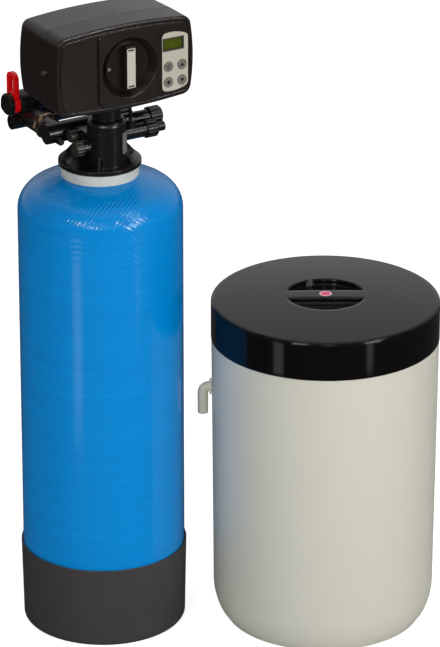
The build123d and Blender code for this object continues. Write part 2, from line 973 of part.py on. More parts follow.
def gear_points(teeth, module, backlash, first_tooth):
    """Corner points of a spur gear; first_tooth is one tooth's direction in degrees."""
    pitch_radius = teeth * module / 2
    pressure = math.radians(pressure_angle)
    base_radius = pitch_radius * math.cos(pressure)
    tip_radius = pitch_radius + module * tip_share
    root_radius = pitch_radius - module * root_share
    half_at_pitch = math.pi / (2 * teeth) - backlash / (4 * pitch_radius)
    flank_low = max(base_radius, root_radius)
    steps = 3
    flank = [(root_radius, None)]
    for step in range(steps + 1):
        radius = flank_low + (tip_radius - flank_low) * step / steps
        turn = math.acos(min(1, base_radius / radius))
        flank.append((radius, half_at_pitch + involute(pressure) - involute(turn)))
    flank[0] = (root_radius, flank[1][1])
    if root_radius >= base_radius:
        flank = flank[1:]
    points = []
    for tooth in range(teeth):
        centre = math.radians(first_tooth) + 2 * math.pi * tooth / teeth
        for radius, half in flank:
            points.append((radius * math.cos(centre - half), radius * math.sin(centre - half)))
        for radius, half in reversed(flank):
            points.append((radius * math.cos(centre + half), radius * math.sin(centre + half)))
    return points


def gear_solid(teeth, module, thickness, front_y, x, z, first_tooth):
    """A spur gear facing the front, its front face at front_y."""
    points = gear_points(teeth, module, tooth_backlash, first_tooth)
    face = make_face(Polyline(*points, close=True))
    plane = Plane(origin=(x, front_y, z), x_dir=(1, 0, 0), z_dir=(0, -1, 0))
    return extrude(plane * face, -thickness)


# The rack stands on the piston rod

rack_pinion_radius = rack_module * rack_pinion_teeth / 2
rack_pitch_x = dial_x - rack_pinion_radius
rack_low = tower_head + plug_head + piston_travel + rack_gap
rack_high = rack_low + rack_bar_length + rack_gap


def build_piston_rack():
    """Toothed bar on the piston rod, its teeth towards the dial's shaft."""
    pitch = math.pi * rack_module
    tip = rack_pitch_x + rack_module * tip_share
    root = rack_pitch_x - rack_module * root_share
    left = root - rack_bar_width
    half_at_pitch = pitch / 4 - tooth_backlash / 4
    lean = math.tan(math.radians(pressure_angle))
    half_tip = half_at_pitch - (tip - rack_pitch_x) * lean
    half_root = half_at_pitch + (rack_pitch_x - root) * lean
    count = int((rack_high - rack_low) / pitch) - 1
    below = int((dial_height - rack_low) / pitch)
    points = [(left, rack_low), (root, rack_low)]
    for index in range(-below + 1, count - below + 1):
        centre = dial_height + index * pitch
        if centre - half_root < rack_low or centre + half_root > rack_high:
            continue
        points += [(root, centre - half_root), (tip, centre - half_tip)]
        points += [(tip, centre + half_tip), (root, centre + half_root)]
    points += [(root, rack_high), (left, rack_high)]
    face = make_face(Polyline(*points, close=True))
    bar = facing_front(face, tower_y - rack_bar_depth / 2, rack_bar_depth)
    foot = disc(rod_radius + overrun, rack_low - overrun / 2, rack_low + overrun, 0, tower_y)
    socket = disc(rod_radius + snug / 3, rack_low - overrun, rack_low + overrun, 0, tower_y)
    hold = block(left, rod_radius + overrun, tower_y - rack_bar_depth / 2, tower_y + rack_bar_depth / 2,
                 rack_low, rack_low + 2 * overrun)
    return bar + hold + foot - socket


# Drive train

gear_radius = gear_module * gear_teeth / 2
motor_pinion_radius = gear_module * motor_pinion_teeth / 2
motor_x = dial_x + (gear_radius + motor_pinion_radius) * math.cos(math.radians(motor_direction))
motor_z = dial_height + (gear_radius + motor_pinion_radius) * math.sin(math.radians(motor_direction))
well_floor_y = head_front_y + well_depth
gear_front_y = well_floor_y + well_floor + gear_thickness / 2
gear_rear_y = gear_front_y + gear_thickness
plate_front_y = plate_y
plate_rear_y = plate_y + plate_thickness
cam_front_y = gear_rear_y
cam_rear_y = cam_front_y + brine_cam_width


def build_drive_gear():
    """Dial shaft with the large gear, the brine cam's disc and the rack pinion."""
    gear = gear_solid(gear_teeth, gear_module, gear_thickness, gear_front_y, dial_x, dial_height,
                      motor_direction)
    rim_radius = gear_radius - gear_module * root_share - gear_rim
    hub_radius = rack_pinion_radius + gear_rim
    dish = rod_y(rim_radius, gear_front_y - overrun, gear_front_y + gear_thickness - gear_web, dial_x,
                 dial_height)
    dish = dish - rod_y(hub_radius, gear_front_y - 2 * overrun, gear_rear_y, dial_x, dial_height)
    gear = gear - dish
    window_radius = (rim_radius - hub_radius) / 3
    window_ring = (rim_radius + hub_radius) / 2
    windows = 6
    for index in range(windows):
        turn = math.radians(360 * index / windows)
        window = rod_y(
            window_radius,
            gear_front_y - overrun,
            gear_rear_y + overrun,
            dial_x + window_ring * math.cos(turn),
            dial_height + window_ring * math.sin(turn),
        )
        gear = gear - window
    shaft_start = well_floor_y + running
    shaft = rod_y(drive_shaft_radius, shaft_start, plate_rear_y + overrun, dial_x, dial_height)
    pinion_front = tower_y - rack_bar_depth / 2
    pinion = gear_solid(rack_pinion_teeth, rack_module, rack_bar_depth, pinion_front, dial_x, dial_height,
                        180 / rack_pinion_teeth)
    spacer = rod_y(rack_pinion_radius - rack_module * root_share, gear_rear_y - overrun,
                   pinion_front + overrun,
                   dial_x, dial_height)
    ring_inner = brine_cam_radius - gear_web
    cam = rod_y(brine_cam_radius, gear_rear_y - gear_web, cam_rear_y, dial_x, dial_height)
    lobe = rod_y(brine_cam_radius + brine_cam_rise, cam_front_y - overrun, cam_rear_y, dial_x, dial_height)
    far = 2 * gear_radius
    half = math.radians(brine_cam_half_sweep)
    wedge = Polyline((0, 0), (-far * math.sin(half), far * math.cos(half)),
                     (far * math.sin(half), far * math.cos(half)), (0, 0))
    sector = Pos(dial_x, dial_height) * make_face(wedge)
    lobe = lobe & facing_front(sector, gear_rear_y - gear_web, gear_thickness + brine_cam_width)
    cam = (cam + lobe) - rod_y(ring_inner, gear_rear_y - 2 * gear_web, cam_rear_y + overrun, dial_x,
                               dial_height)
    return gear + shaft + pinion + spacer + cam


def build_motor_pinion():
    """Motor shaft with its small gear."""
    gear = gear_solid(
        motor_pinion_teeth,
        gear_module,
        gear_thickness,
        gear_front_y,
        motor_x,
        motor_z,
        motor_direction + 180 + 180 / motor_pinion_teeth,
    )
    shaft = rod_y(motor_shaft_radius, gear_front_y - overrun, motor_front_y + motor_length / 3, motor_x,
                  motor_z)
    return gear + shaft


motor_front_y = plate_rear_y
motor_rear_y = motor_front_y + motor_length


def build_drive_motor():
    """Can motor on the rear of the back plate."""
    can = rod_y(motor_radius, motor_front_y, motor_rear_y, motor_x, motor_z)
    can = fillet(can.edges().sort_by(Axis.Y)[-1:], motor_radius / 8)
    can = can + rod_y(motor_radius / 3, motor_rear_y - overrun, motor_rear_y + overrun, motor_x, motor_z)
    bore = rod_y(motor_shaft_radius + running, motor_front_y - overrun,
                 motor_front_y + motor_length / 3 + snug,
                 motor_x, motor_z)
    return can - bore


def build_back_plate():
    """Upright plate that carries the motor and gears, with a foot on the valve's tower."""
    foot_low = tower_head + plug_head + snug
    foot_top = foot_low + plate_foot_thickness
    left = head_x - plate_half_width
    right = head_x + plate_half_width
    plate = block(left, right, plate_front_y, plate_rear_y, plate_low, plate_top)
    plate = fillet(plate.edges().filter_by(Axis.Y), plate_corner)
    neck = block(-plate_foot_half_width, plate_foot_half_width, plate_front_y, plate_rear_y, foot_low,
                 plate_low + plate_corner)
    foot = block(
        -plate_foot_half_width,
        plate_foot_half_width,
        tower_y - tower_neck_radius,
        plate_rear_y + plate_foot_rear / 2,
        foot_low,
        foot_top,
    )
    body = plate + neck + foot
    for x in (-plate_foot_half_width + plate_corner, plate_foot_half_width - plate_corner):
        web = Polyline(
            (plate_rear_y, foot_low),
            (plate_rear_y + plate_foot_rear / 2, foot_low),
            (plate_rear_y, foot_low + plate_web_height),
            (plate_rear_y, foot_low),
        )
        face = Plane.YZ * make_face(web)
        body = body + Pos(x, 0, 0) * extrude(face, plate_thickness)
    # The rod and the rack pass through the foot
    opening = block(
        -rack_bar_width - rod_radius - snug,
        rod_radius + 2 * snug + overrun,
        tower_y - rod_radius - overrun - 2 * snug,
        tower_y + rod_radius + overrun + 2 * snug,
        foot_low - overrun,
        foot_top + overrun,
    )
    body = body - opening
    body = body - disc(brine_stem_radius + 2 * snug, foot_low - overrun, foot_top + overrun, brine_stem_x,
                       brine_y)
    body = body - rod_y(drive_shaft_radius + running, plate_front_y - overrun, plate_rear_y + overrun,
                        dial_x, dial_height)
    body = body - rod_y(motor_shaft_radius + running, plate_front_y - overrun, plate_rear_y + overrun,
                        motor_x, motor_z)
    return body


# Brine valve beside the tower

follower_y = gear_rear_y + brine_cam_width / 2
cam_low = dial_height - brine_cam_radius - brine_cam_gap


def build_brine_stem():
    """Stem of the brine valve, with an arm that reaches under the cam on the gear."""
    arm_low = cam_low - brine_arm_drop
    arm_high = arm_low + brine_arm_thickness
    half_width = brine_arm_width / 2
    stem = disc(brine_stem_radius, brine_height + brine_bore_radius + brine_stem_travel, arm_high,
                brine_stem_x,
                brine_y)
    collar = disc(brine_collar_radius, brine_collar_height, brine_collar_height + brine_collar,
                  brine_stem_x, brine_y)
    back = block(
        brine_stem_x - half_width,
        brine_stem_x + half_width,
        follower_y - half_width / 2,
        brine_y + half_width,
        arm_low,
        arm_high,
    )
    front = block(
        dial_x - half_width,
        brine_stem_x + half_width,
        follower_y - half_width / 2,
        follower_y + half_width / 2,
        arm_low,
        arm_high,
    )
    nose = block(
        dial_x - half_width,
        dial_x + half_width,
        follower_y - half_width / 2,
        follower_y + half_width / 2,
        arm_low,
        cam_low,
    )
    return stem + collar + back + front + nose


# Control head covers

def head_outline(inset, crown_change=0):
    """Closed outline of the head in X and Z: arcs on all sides and round corners."""
    half_width = head_half_width - inset
    half_height = head_half_height - inset
    left = head_x - half_width
    right = head_x + half_width
    low = head_height - half_height
    high = head_height + half_height
    top = ThreePointArc((left, high), (head_x, high + head_crown + crown_change), (right, high))
    side = ThreePointArc((right, high), (right + head_side_bow, head_height), (right, low))
    bottom = ThreePointArc((right, low), (head_x, low - head_bow - crown_change), (left, low))
    other = ThreePointArc((left, low), (left - head_side_bow, head_height), (left, high))
    face = make_face([top, side, bottom, other])
    corner = max(head_corner - inset, edge_round)
    return fillet(face.vertices(), corner)


def head_slab(inset, front, rear):
    """The head's outline, inset, as a slab between two depths."""
    return facing_front(head_outline(inset), front, rear - front)


def cover_mouth():
    """Opening in the bottom of the covers for the valve's tower and the back plate."""
    low = head_height - head_half_height - head_bow - overrun
    return block(
        -cover_mouth_half_width,
        cover_mouth_half_width,
        tower_y - tower_radius,
        cover_mouth_rear,
        low - overrun,
        head_height - head_half_height + cover_wall + overrun,
    )


def centre_panel(front, rear):
    """Raised middle panel of the front, cut to the head's outline."""
    width = centre_panel_right - centre_panel_left
    middle = (centre_panel_left + centre_panel_right) / 2
    tall = 2 * (head_half_height + head_crown + head_bow)
    band = Pos(middle, head_height) * Rectangle(width, tall)
    sketch = band & head_outline(centre_panel_margin)
    sketch = fillet(sketch.vertices(), centre_panel_corner)
    return facing_front(sketch, front, rear - front)


def keypad_outline(inset):
    """Outline of the keypad's plate, curved with the head above and below."""
    half_width = keypad_half_width - inset
    half_height = keypad_half_height - inset
    left = keypad_x - half_width
    right = keypad_x + half_width
    middle = head_height - keypad_sink
    low = middle - half_height
    high = middle + half_height
    top = ThreePointArc((left, high + keypad_slant), (keypad_x, high + keypad_crown), (right,
                                                                                       high - keypad_slant))
    bottom = ThreePointArc((right, low + keypad_slant), (keypad_x, low - keypad_crown), (left,
                                                                                         low - keypad_slant))
    side = Line((right, high - keypad_slant), (right, low + keypad_slant))
    other = Line((left, low - keypad_slant), (left, high + keypad_slant))
    face = make_face([top, side, bottom, other])
    return fillet(face.vertices(), keypad_corner - inset)


key_places = {
    "menu_key": (keypad_x - key_half_spacing, key_top_row),
    "up_key": (keypad_x + key_half_spacing, key_top_row),
    "set_key": (keypad_x - key_half_spacing, key_bottom_row),
    "down_key": (keypad_x + key_half_spacing, key_bottom_row),
}
panel_front_y = head_front_y - keypad_thickness + keypad_pocket
panel_rear_y = head_front_y + keypad_pocket
cover_inner_y = head_front_y + cover_wall
key_front_y = panel_front_y - key_proud


def screw_places():
    """Corners of the head where the covers are screwed together."""
    reach_x = head_half_width - cover_post_inset_x
    reach_z = head_half_height - cover_post_inset_z
    return [(head_x + sx * reach_x, head_height + sz * reach_z) for sx in (-1, 1) for sz in (-1, 1)]


def build_front_cover():
    shell = head_slab(0, head_front_y, seam_y)
    front_edges = shell.edges().group_by(Axis.Y)[0]
    shell = fillet(front_edges, front_round)
    shell = shell - head_slab(cover_wall, cover_inner_y, seam_y + overrun)
    shell = shell + centre_panel(head_front_y - centre_panel_proud, cover_inner_y)
    # The dial's well
    cup = turned([
        Polyline(
            (0, 0),
            (well_rim_radius + cover_wall, 0),
            (well_floor_radius + cover_wall, -well_depth - well_floor),
            (0, -well_depth - well_floor),
            (0, 0),
        )
    ])
    to_front = Pos(dial_x, head_front_y, dial_height) * Rot(90, 0, 0)
    shell = shell + to_front * cup
    lead = centre_panel_proud + overrun
    well_widening = (well_rim_radius - well_floor_radius) / well_depth
    well = turned([
        Polyline(
            (0, lead),
            (well_rim_radius + well_widening * lead, lead),
            (well_floor_radius, -well_depth),
            (0, -well_depth),
            (0, lead),
        )
    ])
    shell = shell - to_front * well
    shell = shell - rod_y(dial_hub_radius + running, head_front_y, well_floor_y + well_floor + overrun,
                          dial_x, dial_height)
    # Groove round the front, and the upright groove beside the middle panel
    groove = head_slab(front_groove_inset, head_front_y - overrun, head_front_y + front_groove_depth)
    inner = front_groove_inset + front_groove_width
    groove = groove - head_slab(inner, head_front_y - 2 * overrun, head_front_y + overrun)
    shell = shell - groove
    high = head_height + head_half_height - front_groove_inset
    low = head_height - head_half_height + front_groove_inset
    upright = block(
        centre_panel_left - left_groove_width,
        centre_panel_left,
        head_front_y - overrun,
        head_front_y + front_groove_depth,
        low,
        high,
    )
    shell = shell - upright
    # Keypad pocket, display window and key holes
    shell = shell - facing_front(keypad_outline(-snug / 2), head_front_y - overrun, overrun + keypad_pocket)
    window = block(
        keypad_x + display_x_offset - display_width / 2,
        keypad_x + display_x_offset + display_width / 2,
        head_front_y - overrun,
        cover_inner_y + overrun,
        display_height - display_tall / 2,
        display_height + display_tall / 2,
    )
    shell = shell - window
    for x, z in key_places.values():
        shell = shell - rod_y(key_radius + snug, head_front_y - overrun, cover_inner_y + overrun, x, z)
    shell = shell - cover_mouth() - side_screw_holes()
    for x, z in screw_places():
        post = rod_y(boss_radius, cover_inner_y - overrun / 2, seam_y, x, z)
        hole = rod_y(cover_screw_radius + running, seam_y - cover_screw_length, seam_y + overrun, x, z)
        shell = shell + post - hole
    return shell


def build_rear_cover():
    start = seam_y
    front_face = facing_plane(start) * head_outline(0)
    rear_face = facing_plane(head_rear_y) * head_outline(rear_draft)
    shell = loft([front_face, rear_face])
    rear_edges = shell.edges().group_by(Axis.Y)[-1]
    shell = fillet(rear_edges, rear_round)
    inner_front = facing_plane(start - overrun) * head_outline(cover_wall)
    inner_rear = facing_plane(head_rear_y - cover_wall) * head_outline(cover_wall + rear_draft)
    shell = shell - loft([inner_front, inner_rear])
    # Shadow gap at the seam
    gap = head_slab(-overrun, start - overrun, start + seam_gap)
    gap = gap - head_slab(cover_wall / 2, start - 2 * overrun, start + overrun)
    shell = shell - gap
    shell = shell - cover_mouth()
    for x, z in screw_places():
        post = rod_y(boss_radius, start, head_rear_y - cover_wall / 2, x, z)
        hole = rod_y(cover_screw_radius + running, start - overrun, head_rear_y + overrun, x, z)
        sink = rod_y(cover_screw_head + snug, start + cover_screw_length, head_rear_y + overrun, x, z)
        shell = shell + post - hole - sink
    for side in (-1, 1):
        x = head_x + side * plate_post_offset
        shell = shell + rod_y(boss_radius, plate_rear_y, head_rear_y - cover_wall / 2, x, plate_post_height)
    gland = rod_y(gland_radius + snug / 3, head_rear_y - rear_round - overrun, head_rear_y + overrun,
                  gland_x, gland_height)
    return shell - gland


def facing_plane(y):
    """Plane for sketches in X and Z at a depth."""
    return Plane(origin=(0, y, 0), x_dir=(1, 0, 0), z_dir=(0, -1, 0))


def build_cover_screws():
    """Six like screws: four from the rear into the front cover's posts and one on each side."""
    screws = []
    for x, z in screw_places():
        start = seam_y + cover_screw_length
        head = rod_y(cover_screw_head, start, start + cover_screw_radius, x, z)
        shank = rod_y(cover_screw_radius, start - 2 * cover_screw_length + snug, start + running, x, z)
        screws += list((head + shank).solids())
    for side in (-1, 1):
        wall = head_x + side * (head_half_width + head_side_bow)
        head = rod_x(cover_screw_head, wall, wall + side * cover_screw_radius, side_screw_y, head_height)
        shank = rod_x(cover_screw_radius, wall - side * cover_screw_length, wall + side * running,
                      side_screw_y,
                      head_height)
        screws += list((head + shank).solids())
    return Compound(screws)


def side_screw_holes():
    reach = head_half_width + head_side_bow + overrun
    return rod_x(cover_screw_radius + running, head_x - reach, head_x + reach, side_screw_y, head_height)


def build_cord_gland():
    """Strain-relief gland for the low-voltage lead, in the rear cover."""
    body = rod_y(gland_radius, head_rear_y - cover_wall, head_rear_y + gland_length, gland_x, gland_height)
    collar = rod_y(gland_radius + cover_wall, head_rear_y, head_rear_y + cover_wall, gland_x, gland_height)
    bore = rod_y(gland_radius / 2, head_rear_y - 2 * cover_wall, head_rear_y + gland_length + overrun,
                 gland_x, gland_height)
    return body + collar - bore


# Dial, strip and keypad

def build_dial():
    disc_rear = well_floor_y - snug
    disc_front = disc_rear - dial_thickness
    body = rod_y(dial_radius, disc_front, disc_rear, dial_x, dial_height)
    rim = body.edges().group_by(Axis.Y)[0]
    body = chamfer(rim, edge_round)
    rib_front = head_front_y - dial_rib_proud
    rib = block(
        dial_x - dial_rib_width / 2,
        dial_x + dial_rib_width / 2,
        rib_front,
        disc_rear - dial_thickness / 2,
        dial_height - dial_rib_length / 2,
        dial_height + dial_rib_length / 2,
    )
    rib = fillet(rib.edges().filter_by(Axis.Y), dial_rib_corner)
    rib = chamfer(rib.edges().group_by(Axis.Y)[0], edge_round)
    hub = rod_y(dial_hub_radius, disc_front, well_floor_y + well_floor, dial_x, dial_height)
    pointer = block(
        dial_x - dial_radius + edge_round,
        dial_x - dial_radius + dial_pointer_length,
        disc_front - dial_pointer_rise,
        disc_rear,
        dial_height - dial_pointer_width / 2,
        dial_height + dial_pointer_width / 2,
    )
    body = body + rib + hub + pointer
    pocket = block(
        dial_x - strip_width / 2 - snug / 2,
        dial_x + strip_width / 2 + snug / 2,
        rib_front - overrun,
        rib_front + strip_pocket,
        dial_height - strip_length / 2 - snug / 2,
        dial_height + strip_length / 2 + snug / 2,
    )
    bore = rod_y(drive_shaft_radius + snug / 3, well_floor_y, well_floor_y + well_floor + overrun,
                 dial_x, dial_height)
    return body - pocket - bore


def build_dial_strip():
    """Pale insert along the dial's rib."""
    front = head_front_y - dial_rib_proud + strip_pocket - strip_thickness
    strip = block(
        dial_x - strip_width / 2,
        dial_x + strip_width / 2,
        front,
        front + strip_thickness,
        dial_height - strip_length / 2,
        dial_height + strip_length / 2,
    )
    return fillet(strip.edges().filter_by(Axis.Y), edge_round)


def build_keypad_panel():
    panel = facing_front(keypad_outline(0), panel_front_y, keypad_thickness)
    window = block(
        keypad_x + display_x_offset - display_width / 2,
        keypad_x + display_x_offset + display_width / 2,
        panel_front_y - overrun,
        panel_rear_y + overrun,
        display_height - display_tall / 2,
        display_height + display_tall / 2,
    )
    panel = panel - window
    for x, z in key_places.values():
        panel = panel - rod_y(key_radius + snug, panel_front_y - overrun, panel_rear_y + overrun, x, z)
    return panel


def build_display_frame():
    """Grey frame round the display's window."""
    x = keypad_x + display_x_offset
    outer = block(
        x - display_width / 2 + snug / 2,
        x + display_width / 2 - snug / 2,
        panel_front_y - edge_round / 2,
        cover_inner_y,
        display_height - display_tall / 2 + snug / 2,
        display_height + display_tall / 2 - snug / 2,
    )
    inner = block(
        x - display_width / 2 + display_frame,
        x + display_width / 2 - display_frame,
        panel_front_y - overrun,
        cover_inner_y + overrun,
        display_height - display_tall / 2 + display_frame,
        display_height + display_tall / 2 - display_frame,
    )
    return outer - inner


def build_display():
    x = keypad_x + display_x_offset
    return block(
        x - display_width / 2 + display_frame + snug / 3,
        x + display_width / 2 - display_frame - snug / 3,
        panel_rear_y,
        board_front_y,
        display_height - display_tall / 2 + display_frame + snug / 3,
        display_height + display_tall / 2 - display_frame - snug / 3,
    )


board_front_y = cover_inner_y + key_flange + key_travel + snug + switch_tall


def build_key(x, z):
    """Round key with a flange that rests behind the cover's wall."""
    flange_front = cover_inner_y + running
    flange_rear = flange_front + key_flange
    cap = rod_y(key_radius, key_front_y, flange_rear, x, z)
    cap = chamfer(cap.edges().group_by(Axis.Y)[0], edge_round / 2)
    return cap + rod_y(key_radius + key_flange_width, flange_front, flange_rear, x, z)


def build_control_board():
    """Circuit board behind the keypad with one switch under each key."""
    half_width = keypad_half_width - edge_round
    board = block(
        keypad_x - half_width,
        keypad_x + half_width,
        board_front_y,
        board_front_y + board_thickness,
        key_bottom_row - switch_size / 2 - edge_round,
        display_height + display_tall / 2,
    )
    for x, z in key_places.values():
        switch = block(
            x - switch_size / 2,
            x + switch_size / 2,
            board_front_y - switch_tall,
            board_front_y + board_thickness / 2,
            z - switch_size / 2,
            z + switch_size / 2,
        )
        board = board + switch
    return board


# Bypass

bypass_front_y = port_end_y + union_length


def build_unions():
    """The two brass nipples with hexagons between the valve's ports and the bypass."""
    return Compound([build_union(side).solids()[0] for side in (-1, 1)])


def build_union(side):
    x = side * port_half_spacing
    body = rod_y(union_radius, port_end_y, bypass_front_y, x, manifold_height)
    hexagon = RegularPolygon(union_hex_radius, 6)
    plane = Plane(origin=(x, 0, manifold_height), x_dir=(1, 0, 0), z_dir=(0, 1, 0))
    length = union_length * union_hex_share
    start = port_end_y + (union_length - length) / 2
    body = body + Pos(0, start, 0) * extrude(plane * hexagon, length)
    return body - rod_y(port_bore_radius, port_end_y - overrun, bypass_front_y + overrun, x, manifold_height)


def build_bypass_body():
    body = rod_x(barrel_radius, -barrel_half_length, barrel_half_length, barrel_y, barrel_height)
    body = body + rod_x(cross_radius, -cross_half_length, cross_half_length, barrel_y, cross_height)
    web_end = port_half_spacing - bypass_tube_radius / 2
    web = block(
        -web_end,
        web_end,
        barrel_y - cross_radius / 2,
        barrel_y + cross_radius / 2,
        cross_height,
        barrel_height,
    )
    body = body + web
    for side in (-1, 1):
        x = side * port_half_spacing
        body = body + rod_y(bypass_tube_radius, bypass_front_y, bypass_end_y, x, manifold_height)
        body = body + rod_y(bypass_spigot_radius, bypass_end_y - overrun, bypass_end_y + bypass_spigot_length,
                            x, manifold_height)
        riser = block(
            x - barrel_radius * 2 / 3,
            x + barrel_radius * 2 / 3,
            barrel_y - barrel_radius * 2 / 3,
            barrel_y + barrel_radius * 2 / 3,
            manifold_height,
            barrel_height,
        )
        body = body + riser
    for side in (-1, 1):
        x = side * port_half_spacing
        end = bypass_end_y + bypass_spigot_length
        body = body - rod_y(port_bore_radius, bypass_front_y - overrun, end + overrun, x, manifold_height)
        chamber = rod_x(rotor_radius + running, side * (barrel_half_length - rotor_depth),
                        side * (barrel_half_length + overrun), barrel_y, barrel_height)
        body = body - chamber
        recess = rod_x(cross_recess_radius, side * (cross_half_length - cross_recess_depth),
                       side * (cross_half_length + overrun), barrel_y, cross_height)
        body = body - recess
    return body


def build_bypass_handle(side):
    """Red lever: a hub with a finger loop, on the rotor that turns in the barrel."""
    hub_start = side * (barrel_half_length + snug)
    hub_end = hub_start + side * handle_hub_thickness
    hub = rod_x(handle_hub_radius, hub_start, hub_end, barrel_y, barrel_height)
    rotor = rod_x(rotor_radius, side * (barrel_half_length - rotor_depth + snug),
                  hub_start + side * edge_round,
                  barrel_y, barrel_height)
    loop_mid = hub_start + side * handle_hub_thickness / 2
    top = barrel_height + handle_loop_reach
    half = handle_loop_width / 2
    outer = Pos(barrel_y, (barrel_height + top) / 2) * Rectangle(handle_loop_width, handle_loop_reach)
    outer = fillet(outer.vertices(), half - handle_loop_bar / 3)
    hole_low = barrel_height + handle_hub_radius
    hole_high = top - handle_loop_bar
    hole_width = handle_loop_width - 2 * handle_loop_bar
    hole = Pos(barrel_y, (hole_low + hole_high) / 2) * Rectangle(hole_width, hole_high - hole_low)
    hole = fillet(hole.vertices(), hole_width / 3)
    plane = Plane(origin=(loop_mid - handle_loop_thickness / 2, 0, 0), x_dir=(0, 1, 0), z_dir=(1, 0, 0))
    loop = extrude(plane * (outer - hole), handle_loop_thickness)
    return hub + rotor + loop


def build_handle_cap(side):
    """Round cap that holds the lever on its rotor."""
    start = side * (barrel_half_length + snug + handle_hub_thickness)
    end = start + side * handle_cap_thickness
    cap = rod_x(handle_cap_radius, start, end, barrel_y, barrel_height)
    faces = cap.edges().sort_by(Axis.X)
    outer_edge = faces[-1:] if side > 0 else faces[:1]
    return chamfer(outer_edge, handle_cap_thickness / 4)


def build_port_clips():
    """Two open spring clips, one round each port."""
    clips = []
    for side in (-1, 1):
        x = side * port_half_spacing
        outer_radius = port_radius + snug / 3 + clip_thickness
        start = port_end_y - clip_length - clip_thickness
        band = rod_y(outer_radius, start, start + clip_length, x, manifold_height)
        band = band - rod_y(port_radius + snug / 3, start - overrun, start + clip_length + overrun, x,
                            manifold_height)
        half_gap = port_radius * clip_gap_share
        gap = block(
            x - half_gap,
            x + half_gap,
            start - overrun,
            start + clip_length + overrun,
            manifold_height,
            manifold_height + outer_radius + overrun,
        )
        clips += list((band - gap).solids())
    return Compound(clips)


def build_manifold_screws():
    """Two steel screws in the manifold's bosses."""
    screws = []
    for side in (-1, 1):
        x = side * port_half_spacing
        head = rod_y(screw_head_radius, screw_boss_front - screw_head, screw_boss_front, x, screw_boss_height)
        slot = block(
            x - screw_head_radius - overrun,
            x + screw_head_radius + overrun,
            screw_boss_front - screw_head - overrun,
            screw_boss_front - screw_head / 2,
            screw_boss_height - screw_head / 6,
            screw_boss_height + screw_head / 6,
        )
        shank = rod_y(screw_radius, screw_boss_front - overrun / 2, screw_boss_front + screw_depth, x,
                      screw_boss_height)
        screws += list((head - slot + shank).solids())
    return Compound(screws)


# Flow meter

turbine_y = bypass_front_y + cage_length


def build_turbine_cage():
    """Thin sleeve with two spoked ends that carries the turbine's pin."""
    x = port_half_spacing
    outer = port_bore_radius - snug / 3
    start = turbine_y - cage_length / 2
    end = turbine_y + cage_length / 2
    sleeve = rod_y(outer, start, end, x, manifold_height)
    sleeve = sleeve - rod_y(outer - cage_wall, start - overrun, end + overrun, x, manifold_height)
    for low in (start, end - cage_spoke):
        spoke = block(x - cage_spoke / 2, x + cage_spoke / 2, low, low + cage_spoke,
                      manifold_height - outer + cage_wall / 2, manifold_height + outer - cage_wall / 2)
        across = block(x - outer + cage_wall / 2, x + outer - cage_wall / 2, low, low + cage_spoke,
                       manifold_height - cage_spoke / 2, manifold_height + cage_spoke / 2)
        sleeve = sleeve + spoke + across
    return sleeve + rod_y(turbine_shaft_radius, start, end, x, manifold_height)


def build_meter_turbine():
    x = port_half_spacing
    start = turbine_y - turbine_length / 2
    end = turbine_y + turbine_length / 2
    rotor = rod_y(turbine_hub_radius, start, end, x, manifold_height)
    for index in range(turbine_blade_count):
        blade = block(0, turbine_radius, start, end, -turbine_blade_thickness / 2,
                      turbine_blade_thickness / 2)
        rotor = rotor + Pos(x, 0, manifold_height) * Rot(0, 360 * index / turbine_blade_count, 0) * blade
    return rotor - rod_y(turbine_shaft_radius + running, start - overrun, end + overrun, x, manifold_height)


# Brine tank

tank_place = Pos(tank_x, tank_y, 0) * Rot(0, 0, tank_turn)
grid_seat = grid_height + grid_thickness
float_rod_top = safety_body_bottom + arm_thickness + running + float_collar
tank_rim_radius = lid_radius - lid_wall - tank_rim_clear
tank_rim_top = tank_shoulder + tank_rim_height


def tank_radius_at(height):
    """Outer radius of the tapered side at a height."""
    share = (height - tank_foot_top) / (tank_shoulder - tank_foot_top)
    return tank_radius_low + (tank_radius_top - tank_radius_low) * share


def foot_radius_at(height, grow=0):
    """Outer radius of the rounded foot at a height, grown or shrunk with its arc."""
    centre = tank_radius_low - tank_foot_round
    arc = tank_foot_round + grow
    return centre + math.sqrt(arc ** 2 - (tank_foot_top - height) ** 2)


